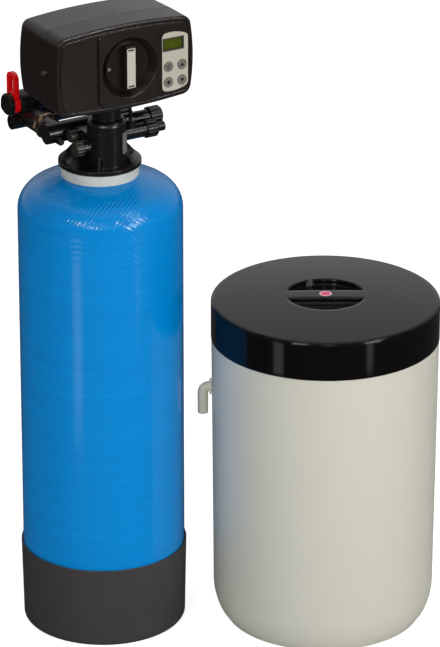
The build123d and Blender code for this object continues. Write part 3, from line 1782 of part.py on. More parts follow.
def build_brine_tank():
    centre = (tank_radius_low - tank_foot_round, tank_foot_top)
    outer_start = -math.degrees(math.asin((tank_foot_top - tank_foot_step) / tank_foot_round))
    inner_arc_radius = tank_foot_round - tank_wall
    inner_start = -math.degrees(math.asin((tank_foot_top - tank_floor) / inner_arc_radius))
    outer_arc = arc_between(centre, tank_foot_round, outer_start, 0)
    inner_arc = arc_between(centre, inner_arc_radius, 0, inner_start)
    inset = tank_foot_inset
    inner_rim = tank_rim_radius - tank_wall
    outline = [
        Polyline(
            (0, 0),
            (foot_radius_at(0) - inset, 0),
            (foot_radius_at(tank_foot_step) - inset, tank_foot_step),
            (foot_radius_at(tank_foot_step), tank_foot_step),
        ),
        outer_arc,
        Polyline(
            (tank_radius_low, tank_foot_top),
            (tank_radius_top, tank_shoulder - snug),
            (tank_rim_radius, tank_shoulder - snug),
            (tank_rim_radius, tank_rim_top),
            (inner_rim, tank_rim_top),
            (inner_rim, tank_shoulder - tank_wall),
            (tank_radius_top - tank_wall, tank_shoulder - tank_wall - tank_radius_top + tank_rim_radius),
            (tank_radius_low - tank_wall, tank_foot_top),
        ),
        inner_arc,
        Polyline((foot_radius_at(tank_floor, -tank_wall), tank_floor), (0, tank_floor), (0, 0)),
    ]
    shell = turned(outline)
    wall = rod_x(overflow_shank_radius + snug / 3, -tank_radius_top - overrun, -inner_rim + 2 * tank_wall, 0,
                 overflow_height)
    line = rod_x(line_grommet_waist, tank_radius_low / 2, tank_radius_top + overrun, 0, line_port_height)
    return shell - wall - Rot(0, 0, well_turn) * line


def build_line_grommet():
    """Rubber bush in the tank's wall that the brine line passes through."""
    outer = tank_radius_at(line_port_height)
    middle = outer - tank_wall / 2
    flange = line_grommet_waist + line_grommet_lip
    length = line_grommet_length
    bush = rod_x(line_grommet_waist - snug / 3, middle - length / 2, middle + length / 2, 0, line_port_height)
    outer_lip = rod_x(flange, outer + snug / 3, middle + length / 2, 0, line_port_height)
    inner_lip = rod_x(flange, middle - length / 2, outer - tank_wall - line_grommet_lip / 2, 0,
                      line_port_height)
    bore = rod_x(line_port_radius, 0, outer + length, 0, line_port_height)
    return Rot(0, 0, well_turn) * (bush + outer_lip + inner_lip - bore)


def build_overflow_elbow():
    """Elbow whose shank passes through the wall and whose hose tail points down."""
    wall_outer = tank_radius_at(overflow_height)
    axis = wall_outer + overflow_reach
    start = wall_outer - tank_wall - overflow_nut_length - overflow_collar
    bend = overflow_reach - overflow_collar
    low = overflow_height - overflow_drop
    level = Line((-start, 0, overflow_height), (-axis + bend, 0, overflow_height))
    corner = ThreePointArc(
        (-axis + bend, 0, overflow_height),
        (-axis + bend * (1 - math.sqrt(1 / 2)), 0, overflow_height - bend * (1 - math.sqrt(1 / 2))),
        (-axis, 0, overflow_height - bend),
    )
    down = Line((-axis, 0, overflow_height - bend), (-axis, 0, low))
    path = Wire([level, corner, down])
    plane = Plane(origin=(-start, 0, overflow_height), z_dir=(-1, 0, 0))
    body = sweep(plane * Circle(overflow_radius), path)
    way = sweep(plane * Circle(overflow_bore), path)
    shank = rod_x(overflow_shank_radius, -start, -wall_outer, 0, overflow_height)
    collar = rod_x(overflow_collar_radius, -wall_outer - snug, -wall_outer - overflow_collar, 0,
                   overflow_height)
    return body + shank + collar - way


def build_overflow_nut():
    inner = tank_radius_at(overflow_height) - tank_wall - overflow_collar / 2
    nut = rod_x(overflow_nut_radius, -inner, -inner + overflow_nut_length, 0, overflow_height)
    flats = nut_flat_count
    for index in range(flats):
        turn = Pos(0, 0, overflow_height) * Rot(360 * index / flats, 0, 0)
        distance = overflow_nut_radius * math.cos(math.pi / flats)
        side = block(-inner - overrun, -inner + overflow_nut_length + overrun, -overflow_nut_radius,
                     overflow_nut_radius, distance, distance + overflow_nut_radius)
        nut = nut - turn * side
    return nut - rod_x(overflow_shank_radius + snug / 3, 0, -inner - overrun, 0, overflow_height)


# Inside the brine tank: the well, its float and the safety valve

def build_brine_well():
    """Upright tube that keeps salt away from the float."""
    tube = ring(well_radius, well_radius - well_wall, grid_seat, well_top)
    reach = well_radius + overrun
    for turn in range(0, 180, 45):
        slot = block(-reach, reach, -well_slot / 2, well_slot / 2, grid_seat + well_slot,
                     grid_seat + well_slot_height)
        tube = tube - Rot(0, 0, turn) * slot
    tube = tube - rod_x(line_port_radius + snug, 0, reach, 0, line_port_height)
    return in_well(tube)


def in_well(shape):
    """Move a shape built about the well's axis, its +X towards the tank's wall."""
    return Rot(0, 0, well_turn) * Pos(well_offset, 0, 0) * shape


def build_well_cap():
    """Push-on cap of the well."""
    outer = well_radius + snug + well_wall
    skirt = ring(outer, well_radius + snug / 3, well_top - well_cap_height, well_top)
    top = disc(outer, well_top, well_top + well_wall)
    knob = disc(well_radius / 4, well_top, well_top + 2 * well_wall)
    return in_well(skirt + top + knob)


def build_safety_valve():
    """Brine valve body with its pick-up tube, air check and float arm."""
    high = safety_body_bottom + safety_body_length
    body = disc(safety_body_radius, safety_body_bottom, high, safety_offset, 0)
    body = chamfer(body.edges().group_by(Axis.Z)[-1], edge_round)
    tube = disc(pickup_radius, pickup_bottom, safety_body_bottom + overrun, safety_offset, 0)
    check = disc(air_check_radius, pickup_bottom, pickup_bottom + air_check_height, safety_offset, 0)
    arm_high = safety_body_bottom + arm_thickness
    arm = block(float_offset - arm_width / 2, safety_offset, -arm_width / 2, arm_width / 2,
                safety_body_bottom, arm_high)
    guide = disc(arm_width / 2, safety_body_bottom - arm_thickness, arm_high, float_offset, 0)
    elbow = disc(pickup_radius, high - overrun, line_port_height + pickup_radius, safety_offset, 0)
    spout = rod_x(line_port_radius, safety_offset, well_radius + snug, 0, line_port_height)
    hole = disc(float_rod_radius + running, safety_body_bottom - 2 * arm_thickness, arm_high + overrun,
                float_offset, 0)
    way = rod_x(line_port_radius / 2, safety_offset, well_radius + overrun, 0, line_port_height)
    return in_well(body + tube + check + arm + guide + elbow + spout - hole - way)


def build_float():
    """Float on its rod, below the safety valve's arm."""
    body = disc(float_radius, float_bottom, float_bottom + float_height, float_offset, 0)
    body = fillet(body.edges().filter_by(GeomType.CIRCLE), edge_round * 3)
    hole = disc(float_rod_radius + snug / 3, float_bottom - overrun, float_bottom + float_height + overrun,
                float_offset, 0)
    return in_well(body - hole)


def build_float_rod():
    """Rod of the float with a stop collar above and below it."""
    rod = disc(float_rod_radius, float_bottom - 2 * float_collar, float_rod_top, float_offset, 0)
    under = disc(float_collar_radius, float_bottom - float_collar, float_bottom, float_offset, 0)
    over_float = disc(float_collar_radius, float_bottom + float_height,
                      float_bottom + float_height + float_collar,
                      float_offset, 0)
    catch = disc(float_collar_radius, float_rod_top - float_collar, float_rod_top, float_offset, 0)
    return in_well(rod + under + over_float + catch)


def build_salt_grid():
    """Perforated platform on legs, with a round opening for the well."""
    plate = disc(grid_radius, grid_height, grid_height + grid_thickness)
    legs = []
    for index in range(grid_leg_count):
        turn = math.radians(360 * (index + 1 / 2) / grid_leg_count + well_turn)
        reach = grid_radius * grid_leg_ring_share
        legs.append((reach * math.cos(turn), reach * math.sin(turn)))
    for x, y in legs:
        plate = plate + ring(grid_leg_radius, grid_leg_radius - grid_thickness / 2, tank_floor,
                             grid_height + overrun,
                             x, y)
        plate = plate + disc(grid_leg_radius, grid_height, grid_height + grid_thickness, x, y)
    well_x = well_offset * math.cos(math.radians(well_turn))
    well_y = well_offset * math.sin(math.radians(well_turn))
    holes = []
    for share, count in zip(grid_ring_shares, grid_ring_counts):
        for index in range(count):
            turn = math.radians(360 * index / count)
            x = grid_radius * share * math.cos(turn)
            y = grid_radius * share * math.sin(turn)
            clear_of_legs = all(math.hypot(x - leg[0],
                                           y - leg[1]) > grid_leg_radius + grid_hole_radius for leg in legs)
            clear_of_well = math.hypot(x - well_x, y - well_y) > well_radius + grid_hole_radius + well_wall
            if clear_of_legs and clear_of_well:
                holes.append(disc(grid_hole_radius, grid_height - overrun,
                                  grid_height + grid_thickness + overrun, x, y))
    plate = plate - Compound([hole.solids()[0] for hole in holes])
    seat = disc(well_radius - well_wall - overrun, grid_height - overrun,
                grid_height + grid_thickness + overrun,
                well_x, well_y)
    return plate - seat


def build_tank_lid():
    """Deep lid with a crowned top and a recessed finger grip."""
    skirt_inner = lid_radius - lid_wall
    edge = lid_edge_round
    edge_arc = arc_between((lid_radius - edge, lid_top - edge), edge, 0, 90)
    crown_arc = ThreePointArc(
        (lid_radius - edge, lid_top),
        ((lid_radius - edge) / 2, lid_top + lid_crown * crown_mid_share),
        (0, lid_top + lid_crown),
    )
    under = ThreePointArc(
        (0, lid_top + lid_crown - lid_wall),
        (skirt_inner / 2, lid_top + lid_crown * crown_mid_share - lid_wall),
        (skirt_inner, lid_top - lid_wall),
    )
    outline = [
        Line((lid_radius, tank_shoulder), (lid_radius, lid_top - edge)),
        edge_arc,
        crown_arc,
        Line((0, lid_top + lid_crown), (0, lid_top + lid_crown - lid_wall)),
        under,
        Polyline((skirt_inner, lid_top - lid_wall), (skirt_inner, tank_shoulder), (lid_radius,
                                                                                   tank_shoulder)),
    ]
    shell = turned(outline)
    grip_top = lid_top + lid_crown
    grip_floor = grip_top - grip_depth
    tray = disc(grip_radius + grip_wall, grip_floor - grip_wall, grip_top - lid_crown / 3)
    shell = shell + tray
    half_bar = grip_bar_width / 2
    circle = Circle(grip_radius)
    for side in (-1, 1):
        far = grip_radius + overrun
        half_plane = Pos(0, side * (half_bar + far / 2)) * Rectangle(2 * far, far)
        moon = circle & half_plane
        moon = fillet(moon.vertices(), grip_corner)
        shell = shell - Pos(0, 0, grip_floor) * extrude(moon, grip_depth + lid_crown)
    seat = disc(dot_radius + snug / 3, grip_top - dot_thickness, grip_top + overrun)
    return shell - seat


def build_grip_dot():
    top = lid_top + lid_crown
    return disc(dot_radius, top - dot_thickness, top + snug)


on_vessel = {
    "vessel_boot": build_boot,
    "pressure_vessel": build_pressure_vessel,
    "neck_insert": build_neck_insert,
    "riser_tube": build_riser_tube,
    "bottom_basket": build_bottom_basket,
    "top_basket": build_top_basket,
    "resin_bed": build_resin_bed,
    "valve_body": build_valve_body,
    "body_label": build_body_label,
    "drain_nut": build_drain_nut,
    "drain_tail": build_drain_tail,
    "brine_nut": build_brine_nut,
    "brine_tail": build_brine_tail,
    "injector_cap": build_injector_cap,
    "refill_cap": build_refill_cap,
    "seal_stack": build_seal_stack,
    "piston": build_piston,
    "piston_plug": build_piston_plug,
    "piston_rack": build_piston_rack,
    "brine_stem": build_brine_stem,
    "manifold_screws": build_manifold_screws,
    "port_clips": build_port_clips,
    "bypass_unions": build_unions,
    "bypass_body": build_bypass_body,
    "inlet_handle": lambda: build_bypass_handle(-1),
    "outlet_handle": lambda: build_bypass_handle(1),
    "inlet_handle_cap": lambda: build_handle_cap(-1),
    "outlet_handle_cap": lambda: build_handle_cap(1),
    "turbine_cage": build_turbine_cage,
    "meter_turbine": build_meter_turbine,
    "back_plate": build_back_plate,
    "drive_motor": build_drive_motor,
    "motor_pinion": build_motor_pinion,
    "drive_gear": build_drive_gear,
    "front_cover": build_front_cover,
    "rear_cover": build_rear_cover,
    "cover_screws": build_cover_screws,
    "cord_gland": build_cord_gland,
    "dial": build_dial,
    "dial_strip": build_dial_strip,
    "keypad_panel": build_keypad_panel,
    "display_frame": build_display_frame,
    "display": build_display,
    "control_board": build_control_board,
    "menu_key": lambda: build_key(*key_places["menu_key"]),
    "up_key": lambda: build_key(*key_places["up_key"]),
    "set_key": lambda: build_key(*key_places["set_key"]),
    "down_key": lambda: build_key(*key_places["down_key"]),
}

in_tank_frame = {
    "brine_tank": build_brine_tank,
    "tank_lid": build_tank_lid,
    "grip_dot": build_grip_dot,
    "overflow_elbow": build_overflow_elbow,
    "overflow_nut": build_overflow_nut,
    "line_grommet": build_line_grommet,
    "brine_well": build_brine_well,
    "well_cap": build_well_cap,
    "safety_valve": build_safety_valve,
    "brine_float": build_float,
    "float_rod": build_float_rod,
    "salt_grid": build_salt_grid,
}

os.makedirs("parts", exist_ok=True)
for name, build in on_vessel.items():
    export_step(as_one(build()), f"parts/{name}.step")
for name, build in in_tank_frame.items():
    export_step(as_one(tank_place * build()), f"parts/{name}.step")
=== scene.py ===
import math

import bpy
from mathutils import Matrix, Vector


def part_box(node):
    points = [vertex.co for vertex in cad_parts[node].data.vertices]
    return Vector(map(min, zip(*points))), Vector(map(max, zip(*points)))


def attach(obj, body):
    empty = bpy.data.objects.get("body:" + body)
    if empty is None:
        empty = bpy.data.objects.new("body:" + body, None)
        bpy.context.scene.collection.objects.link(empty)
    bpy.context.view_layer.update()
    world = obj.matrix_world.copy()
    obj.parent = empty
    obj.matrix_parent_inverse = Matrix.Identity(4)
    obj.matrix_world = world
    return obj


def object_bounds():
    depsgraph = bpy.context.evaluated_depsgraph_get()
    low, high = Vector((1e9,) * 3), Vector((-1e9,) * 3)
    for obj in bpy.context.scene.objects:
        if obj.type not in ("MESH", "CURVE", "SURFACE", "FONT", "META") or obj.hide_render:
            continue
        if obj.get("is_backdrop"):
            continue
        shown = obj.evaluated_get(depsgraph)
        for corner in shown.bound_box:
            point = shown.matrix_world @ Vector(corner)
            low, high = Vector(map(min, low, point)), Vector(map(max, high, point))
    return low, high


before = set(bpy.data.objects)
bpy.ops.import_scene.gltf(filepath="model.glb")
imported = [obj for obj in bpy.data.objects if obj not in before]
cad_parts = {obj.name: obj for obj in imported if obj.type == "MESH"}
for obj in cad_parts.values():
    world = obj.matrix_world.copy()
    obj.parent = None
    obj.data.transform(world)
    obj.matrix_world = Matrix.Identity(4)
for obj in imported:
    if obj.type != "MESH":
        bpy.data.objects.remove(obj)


def plain(value):
    """Turn vectors and tuples into lists of numbers."""
    if isinstance(value, dict):
        return {key: plain(entry) for key, entry in value.items()}
    if isinstance(value, (int, float, str)) or value is None:
        return value
    return [plain(entry) for entry in value]


bounds_at_start = plain(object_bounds())

mm = 0.001

# Part of a noise texture's range that holds most of its change
noise_low = 0.3
noise_high = 0.7


def linear(red, green, blue):
    """Linear colour from sRGB values of 0 to 255, which were measured."""
    channels = []
    for value in (red, green, blue):
        share = value / 255
        if share <= 0.04045:
            channels.append(share / 12.92)
        else:
            channels.append(((share + 0.055) / 1.055) ** 2.4)
    return (*channels, 1.0)


def grey(tone):
    """Linear grey."""
    return (tone, tone, tone, 1.0)


def set_inputs(node, values):
    """Set plain values on a node's sockets."""
    for socket, value in values.items():
        node.inputs[socket].default_value = value


def new_material(name, colour, roughness, metallic=0.0):
    """A principled material with uniform values on its own sockets."""
    material = bpy.data.materials.new(name)
    material.use_nodes = True
    shader = material.node_tree.nodes["Principled BSDF"]
    set_inputs(shader, {"Base Color": colour, "Roughness": roughness, "Metallic": metallic})
    return material, shader


def add_node(material, kind, **settings):
    """Add a shader node and set its plain properties."""
    node = material.node_tree.nodes.new(kind)
    for key, value in settings.items():
        setattr(node, key, value)
    return node


def link(material, output, socket):
    """Link an output to a socket."""
    material.node_tree.links.new(output, socket)


def object_position(material):
    """Position in the object's own frame."""
    return add_node(material, "ShaderNodeTexCoord").outputs["Object"]


def noise(material, scale, detail, position=None):
    """Noise texture, in the object's own frame where no position is given."""
    texture = add_node(material, "ShaderNodeTexNoise")
    set_inputs(texture, {"Scale": scale, "Detail": detail})
    link(material, position or object_position(material), texture.inputs["Vector"])
    return texture.outputs["Fac"]


def stretched(material, factors):
    """Object position multiplied by factors along X, Y and Z."""
    scaling = add_node(material, "ShaderNodeVectorMath", operation="MULTIPLY")
    link(material, object_position(material), scaling.inputs[0])
    scaling.inputs[1].default_value = factors
    return scaling.outputs["Vector"]


def softened(material, radius):
    """Normal that rounds the solids' edges a little."""
    node = add_node(material, "ShaderNodeBevel", samples=6)
    set_inputs(node, {"Radius": radius})
    return node.outputs["Normal"]


def bump(material, shader, height, strength, distance, normal=None):
    """Bump from a height output."""
    node = add_node(material, "ShaderNodeBump")
    if normal:
        link(material, normal, node.inputs["Normal"])
    set_inputs(node, {"Strength": strength, "Distance": distance})
    link(material, height, node.inputs["Height"])
    link(material, node.outputs["Normal"], shader.inputs["Normal"])


def mix_colours(material, factor, first, second):
    """Mix of two colours by a factor output."""
    mix = add_node(material, "ShaderNodeMix", data_type="RGBA")
    link(material, factor, mix.inputs["Factor"])
    set_inputs(mix, {"A": first, "B": second})
    return mix.outputs["Result"]


def ranged(material, value, low, high, out_low=0.0, out_high=1.0):
    """Map a value's range to another one, clamped."""
    node = add_node(material, "ShaderNodeMapRange")
    link(material, value, node.inputs["Value"])
    set_inputs(node, {"From Min": low, "From Max": high, "To Min": out_low, "To Max": out_high})
    return node.outputs["Result"]


def plastic(name, colour, roughness, grain=0.0, grain_scale=900.0, shade=0.9, wear_scale=18.0,
            specular=0.5, edge=0.0):
    """Moulded plastic: a little mottling and wear, a fine grain and softened edges."""
    grain_depth = 0.0002
    smoothest = roughness * 0.9
    roughest = roughness * 1.1
    material, shader = new_material(name, colour, roughness)
    set_inputs(shader, {"Specular IOR Level": specular})
    mottle = noise(material, wear_scale, detail=3.0)
    darker = (colour[0] * shade, colour[1] * shade, colour[2] * shade, 1.0)
    link(material, mix_colours(material, mottle, darker, colour), shader.inputs["Base Color"])
    wear = noise(material, wear_scale * 2, detail=2.0)
    rough = ranged(material, wear, noise_low, noise_high, smoothest, roughest)
    link(material, rough, shader.inputs["Roughness"])
    normal = softened(material, edge) if edge else None
    if grain:
        bump(material, shader, noise(material, grain_scale, detail=1.0), grain, grain_depth, normal)
    elif normal:
        link(material, normal, shader.inputs["Normal"])
    return material


def one_way_strands(material, factors):
    """Fine diagonal strands; the factors turn their direction."""
    wave = add_node(material, "ShaderNodeTexWave", wave_type="BANDS", bands_direction="DIAGONAL")
    set_inputs(wave, {"Scale": 80.0, "Distortion": 1.5})
    link(material, stretched(material, factors), wave.inputs["Vector"])
    return wave.outputs["Fac"]


def dome_strands(material):
    """Strands that cross in patches, on the dome alone."""
    dome_start = 0.5
    dome_full = 0.57
    patch_scale = 16.0
    patch_low = 0.45
    patch_high = 0.6
    height = add_node(material, "ShaderNodeSeparateXYZ")
    link(material, object_position(material), height.inputs["Vector"])
    on_dome = ranged(material, height.outputs["Z"], dome_start, dome_full)
    patches = ranged(material, noise(material, patch_scale, detail=1.0), patch_low, patch_high)
    strands = one_way_strands(material, (1.0, 1.0, 1.0))
    crossing = one_way_strands(material, (-1.0, 1.0, 1.0))
    chosen = add_node(material, "ShaderNodeMix", data_type="FLOAT")
    link(material, patches, chosen.inputs["Factor"])
    link(material, strands, chosen.inputs["A"])
    link(material, crossing, chosen.inputs["B"])
    crossed = add_node(material, "ShaderNodeMath", operation="MULTIPLY")
    link(material, chosen.outputs["Result"], crossed.inputs[0])
    link(material, on_dome, crossed.inputs[1])
    return crossed.outputs["Value"]


def wound_shell():
    """Gloss blue shell with the fine bands and crossing strands of its winding."""
    base = linear(0, 142, 220)
    dark = linear(0, 132, 210)
    band_stretch = (2.5, 2.5, 420.0)
    strand_share = 1.6
    winding_depth = 0.0002
    material, shader = new_material("wound blue shell", base, roughness=0.14)
    set_inputs(shader, {"Specular IOR Level": 0.34})
    bands = noise(material, 1.0, detail=1.0, position=stretched(material, band_stretch))
    strands = dome_strands(material)
    both = add_node(material, "ShaderNodeMath", operation="MULTIPLY_ADD")
    link(material, strands, both.inputs[0])
    both.inputs[1].default_value = strand_share
    link(material, bands, both.inputs[2])
    band_factor = ranged(material, bands, noise_low, noise_high)
    link(material, mix_colours(material, band_factor, dark, base), shader.inputs["Base Color"])
    bump(material, shader, both.outputs["Value"], strength=1.0, distance=winding_depth)
    return material


def brushed(name, colour, roughness, factors):
    """Metal with fine lines along one direction."""
    smoothest = roughness * 0.7
    roughest = roughness * 1.4
    material, shader = new_material(name, colour, roughness, metallic=1.0)
    lines = noise(material, 1.0, detail=2.0, position=stretched(material, factors))
    rough = ranged(material, lines, noise_low, noise_high, smoothest, roughest)
    link(material, rough, shader.inputs["Roughness"])
    bump(material, shader, lines, strength=0.1, distance=0.0001)
    return material


def mottled_brass():
    """Dull brass with brown tarnish."""
    tarnish = linear(58, 44, 32)
    bare = linear(176, 156, 126)
    spot_low = 0.42
    spot_high = 0.6
    material, shader = new_material("tarnished brass", linear(150, 130, 104), roughness=0.42, metallic=0.8)
    spots = noise(material, 190.0, detail=4.0)
    bareness = ranged(material, spots, spot_low, spot_high)
    link(material, mix_colours(material, bareness, tarnish, bare), shader.inputs["Base Color"])
    bump(material, shader, spots, strength=0.3, distance=0.0004)
    return material


def beads(name, colour, painted_gap_shade, scale):
    """A bed of small round beads, darker towards each bead's rim as painted shade in the gaps between
    them.
    """
    material, shader = new_material(name, colour, roughness=0.5)
    cells = add_node(material, "ShaderNodeTexVoronoi")
    set_inputs(cells, {"Scale": scale})
    link(material, object_position(material), cells.inputs["Vector"])
    from_middle = cells.outputs["Distance"]
    # Colour darkens from each cell's middle to its rim: painted shade between the beads.
    link(material, mix_colours(material, from_middle, colour, painted_gap_shade), shader.inputs["Base Color"])
    bump(material, shader, from_middle, strength=0.6, distance=0.001)
    return material


def display_material():
    """Olive display with a faintly uneven tone."""
    dark = linear(50, 60, 4)
    pale = linear(80, 92, 10)
    material, shader = new_material("display olive", linear(69, 78, 9), roughness=0.2)
    set_inputs(shader, {"Specular IOR Level": 0.25})
    tone = noise(material, 120.0, detail=1.0)
    link(material, mix_colours(material, tone, dark, pale), shader.inputs["Base Color"])
    return material


def dot_material():
    """Deep pink dot with a pale rim."""
    rim_start_share = 0.62
    rim_full_share = 0.8
    pink = linear(255, 30, 108)
    pale = linear(255, 190, 206)
    low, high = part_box("grip_dot")
    centre = [(low[axis] + high[axis]) / 2 for axis in range(3)]
    radius = (high[0] - low[0]) / 2
    material, shader = new_material("pink dot", linear(250, 62, 116), roughness=0.3)
    away = add_node(material, "ShaderNodeVectorMath", operation="DISTANCE")
    link(material, object_position(material), away.inputs[0])
    away.inputs[1].default_value = centre
    on_rim = ranged(material, away.outputs["Value"], radius * rim_start_share, radius * rim_full_share)
    link(material, mix_colours(material, on_rim, pink, pale), shader.inputs["Base Color"])
    return material


blue = wound_shell()
boot = plastic("boot plastic", linear(66, 63, 64), 0.5, grain=0.25, specular=0.3)
cream = plastic("cream tank plastic", linear(213, 211, 197), 0.4, grain=0.12, shade=0.985, wear_scale=7.0)
neck_cream = plastic("cream neck plastic", linear(218, 220, 212), 0.4, shade=0.95)
lid_black = plastic("gloss black lid", linear(10, 8, 7), 0.1, shade=0.9, specular=0.3, edge=0.006)
valve_black = plastic("glass filled black", linear(20, 17, 15), 0.27, grain=0.3, grain_scale=1400.0,
                      shade=0.7, specular=0.5, edge=0.0009)
cap_black = plastic("moulded black", linear(17, 14, 12), 0.25, grain=0.15, specular=0.45, edge=0.0006)
head_brown = plastic("head shell", linear(30, 23, 18), 0.28, grain=0.05, grain_scale=2200.0, shade=0.85,
                     specular=0.5, edge=0.0016)
dial_brown = plastic("dial plastic", linear(30, 25, 21), 0.24, shade=0.9, specular=0.26, edge=0.0008)
panel_grey = plastic("keypad grey", linear(186, 182, 166), 0.48, shade=0.96)
key_grey = plastic("key grey", linear(118, 116, 106), 0.4, shade=0.92)
frame_grey = plastic("display frame grey", linear(60, 58, 54), 0.35)
# The caps' warm grey is lifted well above the other black parts: partly their own tone, partly a painted
# sheen.
port_tone_and_sheen = plastic("satin port caps with painted sheen", linear(44, 40, 34), 0.32, grain=0.15, specular=0.5, edge=0.0006)
pointer_grey = plastic("pointer grey", linear(118, 110, 106), 0.35)
red_gloss = plastic("red lever", linear(250, 8, 18), 0.22, shade=0.85, specular=0.4, edge=0.0008)
strip_cream = plastic("dial strip cream", linear(196, 191, 178), 0.42, shade=0.94)
white = plastic("white moulding", linear(222, 222, 214), 0.4, shade=0.96)
warm_white = plastic("warm white elbow", linear(228, 222, 200), 0.4, shade=0.96)
off_white = plastic("clear grey rod", linear(190, 190, 184), 0.3)
gear_cream = plastic("gear cream", linear(214, 210, 194), 0.38)
rubber = plastic("black rubber", linear(22, 22, 22), 0.7, grain=0.2, specular=0.3)
board = plastic("board green", linear(18, 86, 48), 0.4)
label_grey = plastic("blank label", linear(114, 116, 117), 0.3, specular=0.3)
steel = brushed("bright steel", linear(196, 196, 194), 0.28, (900.0, 60.0, 900.0))
motor_can = brushed("motor can", linear(150, 150, 150), 0.35, (60.0, 900.0, 60.0))
brass = mottled_brass()
# The second colour is painted shade for the gaps between the beads.
resin = beads("resin beads", linear(150, 92, 34), linear(92, 52, 18), 900.0)
display_green = display_material()
dot_pink = dot_material()

materials = {
    "vessel_boot": boot,
    "pressure_vessel": blue,
    "neck_insert": neck_cream,
    "riser_tube": white,
    "bottom_basket": white,
    "top_basket": white,
    "resin_bed": resin,
    "valve_body": valve_black,
    "body_label": label_grey,
    "drain_nut": cap_black,
    "drain_tail": cap_black,
    "brine_nut": cap_black,
    "brine_tail": cap_black,
    "injector_cap": port_tone_and_sheen,
    "refill_cap": port_tone_and_sheen,
    "seal_stack": rubber,
    "piston": white,
    "piston_plug": cap_black,
    "piston_rack": gear_cream,
    "brine_stem": cap_black,
    "manifold_screws": steel,
    "port_clips": cap_black,
    "bypass_unions": brass,
    "bypass_body": valve_black,
    "inlet_handle": red_gloss,
    "outlet_handle": red_gloss,
    "inlet_handle_cap": cap_black,
    "outlet_handle_cap": cap_black,
    "turbine_cage": white,
    "meter_turbine": off_white,
    "back_plate": cap_black,
    "drive_motor": motor_can,
    "motor_pinion": gear_cream,
    "drive_gear": gear_cream,
    "front_cover": head_brown,
    "rear_cover": head_brown,
    "cover_screws": steel,
    "cord_gland": cap_black,
    "dial": dial_brown,
    "dial_strip": strip_cream,
    "keypad_panel": panel_grey,
    "display_frame": frame_grey,
    "display": display_green,
    "control_board": board,
    "menu_key": key_grey,
    "up_key": key_grey,
    "set_key": key_grey,
    "down_key": key_grey,
    "brine_tank": cream,
    "tank_lid": lid_black,
    "grip_dot": dot_pink,
    "overflow_elbow": warm_white,
    "overflow_nut": warm_white,
    "line_grommet": rubber,
    "brine_well": white,
    "well_cap": white,
    "safety_valve": white,
    "brine_float": white,
    "float_rod": off_white,
    "salt_grid": white,
}

for name, material in materials.items():
    piece = bpy.data.objects[name]
    piece.data.materials.clear()
    piece.data.materials.append(material)


# Small raised signs on the keys, rings round them and dashes on the dial's strip


def flat_piece(name, outlines, front, depth, material, body):
    """Thin raised shapes that face -Y; outlines are lists of points in X and Z, in metres."""
    vertices = []
    faces = []
    for outline in outlines:
        start = len(vertices)
        count = len(outline)
        vertices += [(x, front, z) for x, z in outline]
        vertices += [(x, front + depth, z) for x, z in outline]
        faces.append(tuple(range(start, start + count)))
        faces.append(tuple(range(start + 2 * count - 1, start + count - 1, -1)))
        for index in range(count):
            after = (index + 1) % count
            faces.append((start + after, start + index, start + count + index, start + count + after))
    mesh = bpy.data.meshes.new(name)
    mesh.from_pydata(vertices, [], faces)
    mesh.materials.append(material)
    piece = bpy.data.objects.new(name, mesh)
    bpy.context.scene.collection.objects.link(piece)
    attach(piece, body)


def bar(x, z, half_x, half_z):
    """Outline of a bar round its middle."""
    left = x - half_x
    right = x + half_x
    return [(left, z - half_z), (right, z - half_z), (right, z + half_z), (left, z + half_z)]


def circle(x, z, radius, count):
    """Outline of a circle round its middle, as a number of points."""
    points = []
    for index in range(count):
        turn = 2 * math.pi * index / count
        points.append((x + radius * math.cos(turn), z + radius * math.sin(turn)))
    return points


def ring_piece(name, x, z, outer, inner, front, depth, material, body):
    """A thin flat ring that faces -Y."""
    count = 48
    far = circle(x, z, outer, count)
    near = circle(x, z, inner, count)
    quads = []
    for index in range(count):
        after = (index + 1) % count
        quads.append([far[index], far[after], near[after], near[index]])
    flat_piece(name, quads, front, depth, material, body)


sign_dark = plastic("sign dark", linear(14, 13, 12), 0.45)
ring_dark = plastic("key ring dark", linear(70, 68, 62), 0.5)

sign_depth = 0.00012
sign_reach = 0.003
disc_count = 24
ring_outer = 0.0067
ring_inner = 0.0060


def key_sign(key, x, z):
    """Outlines of a key's sign: three bars, an arrow up, an arrow down or a round dot."""
    step = sign_reach * 0.7
    if key == "menu":
        half_x = sign_reach * 0.9
        half_z = sign_reach * 0.16
        return [bar(x, z + offset * step, half_x, half_z) for offset in (-1, 0, 1)]
    if key == "up":
        return [[(x - sign_reach, z - step), (x + sign_reach, z - step), (x, z + sign_reach)]]
    if key == "down":
        return [[(x + sign_reach, z + step), (x - sign_reach, z + step), (x, z - sign_reach)]]
    return [circle(x, z, sign_reach * 0.8, disc_count)]


panel_low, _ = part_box("keypad_panel")
for key in ("menu", "up", "set", "down"):
    low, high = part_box(f"{key}_key")
    x = (low[0] + high[0]) / 2
    z = (low[2] + high[2]) / 2
    outlines = key_sign(key, x, z)
    flat_piece(f"{key}_sign", outlines, low[1] - sign_depth, sign_depth, sign_dark, f"{key}_button")
    ring_front = panel_low[1] - sign_depth
    ring_piece(f"{key}_ring", x, z, ring_outer, ring_inner, ring_front, sign_depth, ring_dark, "stand")

strip_low, strip_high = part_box("dial_strip")
strip_x = (strip_low[0] + strip_high[0]) / 2
strip_front = strip_low[1] - sign_depth
dash_inset = 0.0022
dash_half_x = (strip_high[0] - strip_low[0]) * 0.36
dash_half_z = 0.001
dash_heights = {
    "strip_mark_top": strip_high[2] - dash_inset,
    "strip_mark_bottom": strip_low[2] + dash_inset,
}
for name, z in dash_heights.items():
    dash = bar(strip_x, z, dash_half_x, dash_half_z)
    flat_piece(name, [dash], strip_front, sign_depth, sign_dark, "dial_train")


# Pointer on the dial's left, laid over the moulded one

